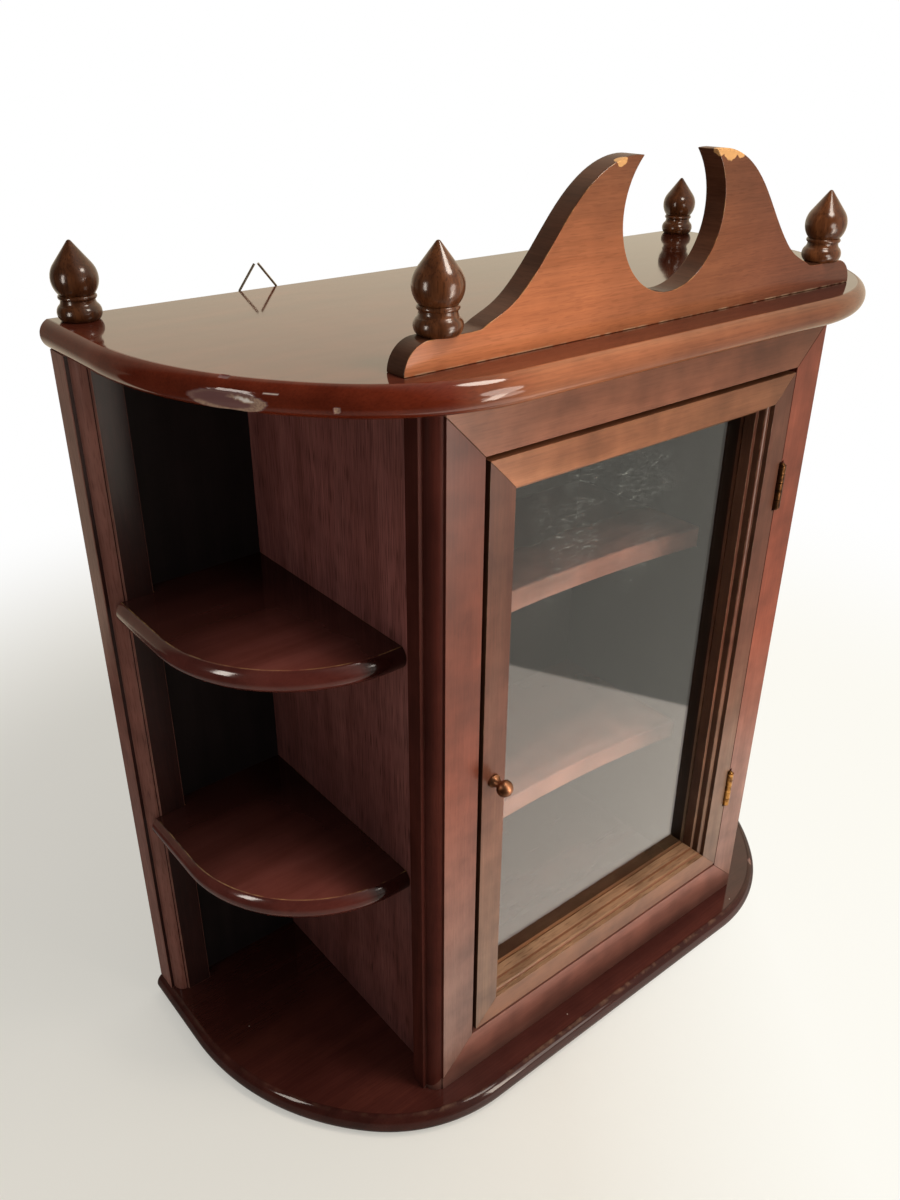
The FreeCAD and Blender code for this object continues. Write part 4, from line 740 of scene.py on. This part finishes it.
def makeBoard(node, name, chips, rubsAndGlints, pockets, edgeFinish):
    # The edge is an arc of circle carried along the plan; chips push it in towards the arc's centre.
    # Flat caps close it above, below and behind.
    low, high = (np.array(corner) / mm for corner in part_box(node))
    thick = high[2] - low[2]
    nose = boards["nose"]
    radius = (thick * thick / 4 + nose * nose) / (2 * nose)
    sweep = math.asin(thick / 2 / radius)
    along, x, y, outX, outY = (part[:, None] for part in boardEdge(high[0], high[1], low[1]))
    angle = np.linspace(-sweep, sweep, boards["rows"])[None, :]
    height = thick / 2 + radius * np.sin(angle)
    dent, flaked = damage(along, height, chips)
    out = nose - radius + (radius - dent) * np.cos(angle)
    z = thick / 2 + (radius - dent) * np.sin(angle)
    # The rub is wear; along the base's front arris it also paints a highlight line.
    rubbed = np.zeros_like(dent)
    grows, fades = boards["rubRun"]
    topFrom, topTo = (thick - reach for reach in boards["rubTop"])
    for start, end, amount in rubsAndGlints:
        spread = ease(start, start + grows, along) * ease(end, end - fades, along)
        rubbed = np.maximum(rubbed, amount * spread * ease(topFrom, topTo, height))
        rubbed = np.maximum(rubbed, 0.5 * amount * spread * ease(*boards["rubFoot"], height))
    ring = np.zeros_like(along)
    out = np.hstack([ring - boards["lip"], out, ring - boards["lip"]])
    z = np.hstack([ring, z, ring + thick])
    wear = np.hstack([ring, rubbed, ring])
    flaked = np.hstack([ring, flaked, ring])
    points = np.stack([x + outX * out, y + outY * out, low[2] + z], axis=-1)
    points[[0, -1], :, 1] = high[1]
    count, rows = points.shape[:2]
    index = np.arange(count * rows).reshape(count, rows)
    quads = np.stack([index[:-1, :-1], index[1:, :-1], index[1:, 1:], index[:-1, 1:]], axis=-1).reshape(-1, 4)
    behind = np.concatenate([index[0], index[-1, ::-1]])
    faces = quads.tolist() + [index[:, -1].tolist(), behind.tolist()]
    vertices = points.reshape(-1, 3) * mm
    mesh = bpy.data.meshes.new(name)
    if pockets:
        # The underside is filled round the screw pockets, each a short tube closed by a disc.
        around = boards["screwPoints"]
        turn = np.linspace(0, 2 * math.pi, around, endpoint=False)
        circle = np.stack([np.cos(turn), np.sin(turn)], axis=-1) * boards["screwHole"]
        hoops = []
        for spot in boards["screwsAt"]:
            for depth in (0.0, boards["screwSink"]):
                hoop = np.column_stack([circle + spot, np.full(around, low[2] + depth)]) * mm
                hoops.append(len(vertices) + np.arange(around))
                vertices = np.vstack([vertices, hoop])
        for mouth, end in zip(hoops[0::2], hoops[1::2]):
            wall = np.stack([mouth, np.roll(mouth, -1), np.roll(end, -1), end], axis=-1)
            faces += wall.tolist() + [end[::-1].tolist()]
        mesh.from_pydata(vertices, [], faces)
        made = bmesh.new()
        made.from_mesh(mesh)
        openEdges = [edge for edge in made.edges if edge.is_boundary]
        bmesh.ops.triangle_fill(made, use_beauty=True, edges=openEdges)
        bmesh.ops.recalc_face_normals(made, faces=made.faces)
        made.to_mesh(mesh)
        made.free()
    else:
        mesh.from_pydata(vertices, [], faces + [index[::-1, 0].tolist()])
    spare = np.zeros(len(mesh.vertices) - wear.size)
    for title, values in (("wear", wear), ("chip", flaked)):
        layer = mesh.attributes.new(title, "FLOAT", "POINT")
        layer.data.foreach_set("value", np.concatenate([values.ravel(), spare]).astype(np.float32))
    standFor(mesh, name, node, "cabinet", boards["sharpAngle"])
    mesh.materials.append(edgeFinish)
    mesh.polygons.foreach_set("material_index", (np.arange(len(mesh.polygons)) < len(quads)).astype(np.int32))


makeBoard("top_board", "worn_top_board", boards["topChips"], boards["topRub"], False, noseWood)
makeBoard("bottom_board", "worn_bottom_board", boards["baseChips"], boards["baseRubAndGlint"], True, baseEdgeWood)
print("boards shaped")

softened = {
    "merge": 1e-6,              # m
    "flatAngle": 0.25,          # degrees: triangles flatter than this are one face
    "sharpAngle": 26.0,         # edges sharper than this are rounded
    "creaseAngle": 50,          # and those sharper than this stay creased in the shading
    "shadeWeight": 80,          # how far large faces rule the shading
    # mm, rounding of the arrises
    "width": [
        (0.45, "pediment"), (0.25, "frame_stile_left frame_stile_right frame_rail_top frame_rail_bottom"),
        (0.35, "back_post_left back_post_right"), (0.1, "side_panel_left side_panel_right"),
        (0.22, "door_stile_left door_stile_right door_rail_top door_rail_bottom"),
        (0.4, "quarter_shelf_left_upper quarter_shelf_left_lower "
              "quarter_shelf_right_upper quarter_shelf_right_lower"),
    ],
    # Some faces carry a second finish, such as sawn edges: finish, axis, and the range of the face direction on it.
    # A fifth value is a depth from the piece's front, in mm: faces behind it carry the second finish too.
    "secondFinish": {name: rule for names, rule in (
        ("pediment", (endGrain, 1, -0.5, 0.5)), ("door_rail_bottom", (dustyWood, 1, -0.8, 0.8)),
        ("frame_stile_left frame_stile_right", (cornerWood, 1, -0.985, 0.985, 1.0)),
        # Painted shade: the door stiles' side faces take the dark finish.
        ("door_stile_left door_stile_right", (shadedWallWood, 1, -0.5, 0.5)),
        # Painted light and shade: the posts' fronts carry the shaded finish, their sides and rounds the lit one.
        ("back_post_left back_post_right", (litPostWood, 1, -0.985, 0.985)),
        # Painted shade: the side panels' inner faces take the near-black back finish.
        ("side_panel_left", (backWood, 0, 0.5, 1.1)), ("side_panel_right", (backWood, 0, -1.1, -0.5)),
        ("quarter_shelf_left_upper quarter_shelf_left_lower", (shelfWoods["left"][1], 2, -1.1, 0.9)),
        ("quarter_shelf_right_upper quarter_shelf_right_lower", (shelfWoods["right"][1], 2, -1.1, 0.9)),
    ) for name in names.split()},
}


def softCopy(node, width):
    # The node's own form, merged, with every arris rounded in two strips; wear is 1 along the middle of a rounding.
    made = bmesh.new()
    made.from_mesh(nodes[node].data)
    bmesh.ops.remove_doubles(made, verts=made.verts, dist=softened["merge"])
    bmesh.ops.dissolve_limit(made, angle_limit=math.radians(softened["flatAngle"]), verts=made.verts,
                             edges=made.edges)
    limit = math.radians(softened["sharpAngle"])
    arrises = [edge for edge in made.edges if edge.is_manifold and edge.calc_face_angle() > limit]
    bmesh.ops.bevel(made, geom=arrises, offset=width * mm, offset_type="OFFSET", segments=2, profile=0.5,
                    affect="EDGES", clamp_overlap=False, material=1)
    name = "eased_" + node
    mesh = bpy.data.meshes.new(name)
    made.to_mesh(mesh)
    made.free()
    # A vertex lies in the middle of a rounding if all its faces belong to roundings.
    facts = {}
    for title, source, kind, size in (
            ("material_index", mesh.polygons, np.int32, 1), ("loop_total", mesh.polygons, np.int32, 1),
            ("vertex_index", mesh.loops, np.int32, 1), ("normal", mesh.polygons, np.float32, 3),
            ("center", mesh.polygons, np.float32, 3)):
        facts[title] = np.zeros(len(source) * size, dtype=kind)
        source.foreach_get(title, facts[title])
    corners = facts["vertex_index"]
    faces = np.bincount(corners, minlength=len(mesh.vertices))
    rounds = np.bincount(corners, weights=np.repeat(facts["material_index"], facts["loop_total"]),
                         minlength=len(mesh.vertices))
    wear = (rounds == faces).astype(np.float32)
    mesh.attributes.new("wear", "FLOAT", "POINT").data.foreach_set("value", wear)
    body = "door" if node.startswith("door_") else "cabinet"
    piece = standFor(mesh, name, node, body, softened["creaseAngle"])
    second = np.zeros(len(mesh.polygons), dtype=np.int32)
    if node in softened["secondFinish"]:
        finish, axis, low, high, *depths = softened["secondFinish"][node]
        mesh.materials.append(finish)
        facing = facts["normal"][axis::3]
        chosen = (facing > low) & (facing < high)
        for depth in depths:
            chosen |= facts["center"][1::3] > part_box(node)[0][1] + depth * mm
        second = chosen.astype(np.int32)
    mesh.polygons.foreach_set("material_index", second)
    shading = piece.modifiers.new("even_shading", "WEIGHTED_NORMAL")
    shading.weight = softened["shadeWeight"]
    shading.keep_sharp = True


for width, names in softened["width"]:
    for node in names.split():
        softCopy(node, width)
print("arrises eased")
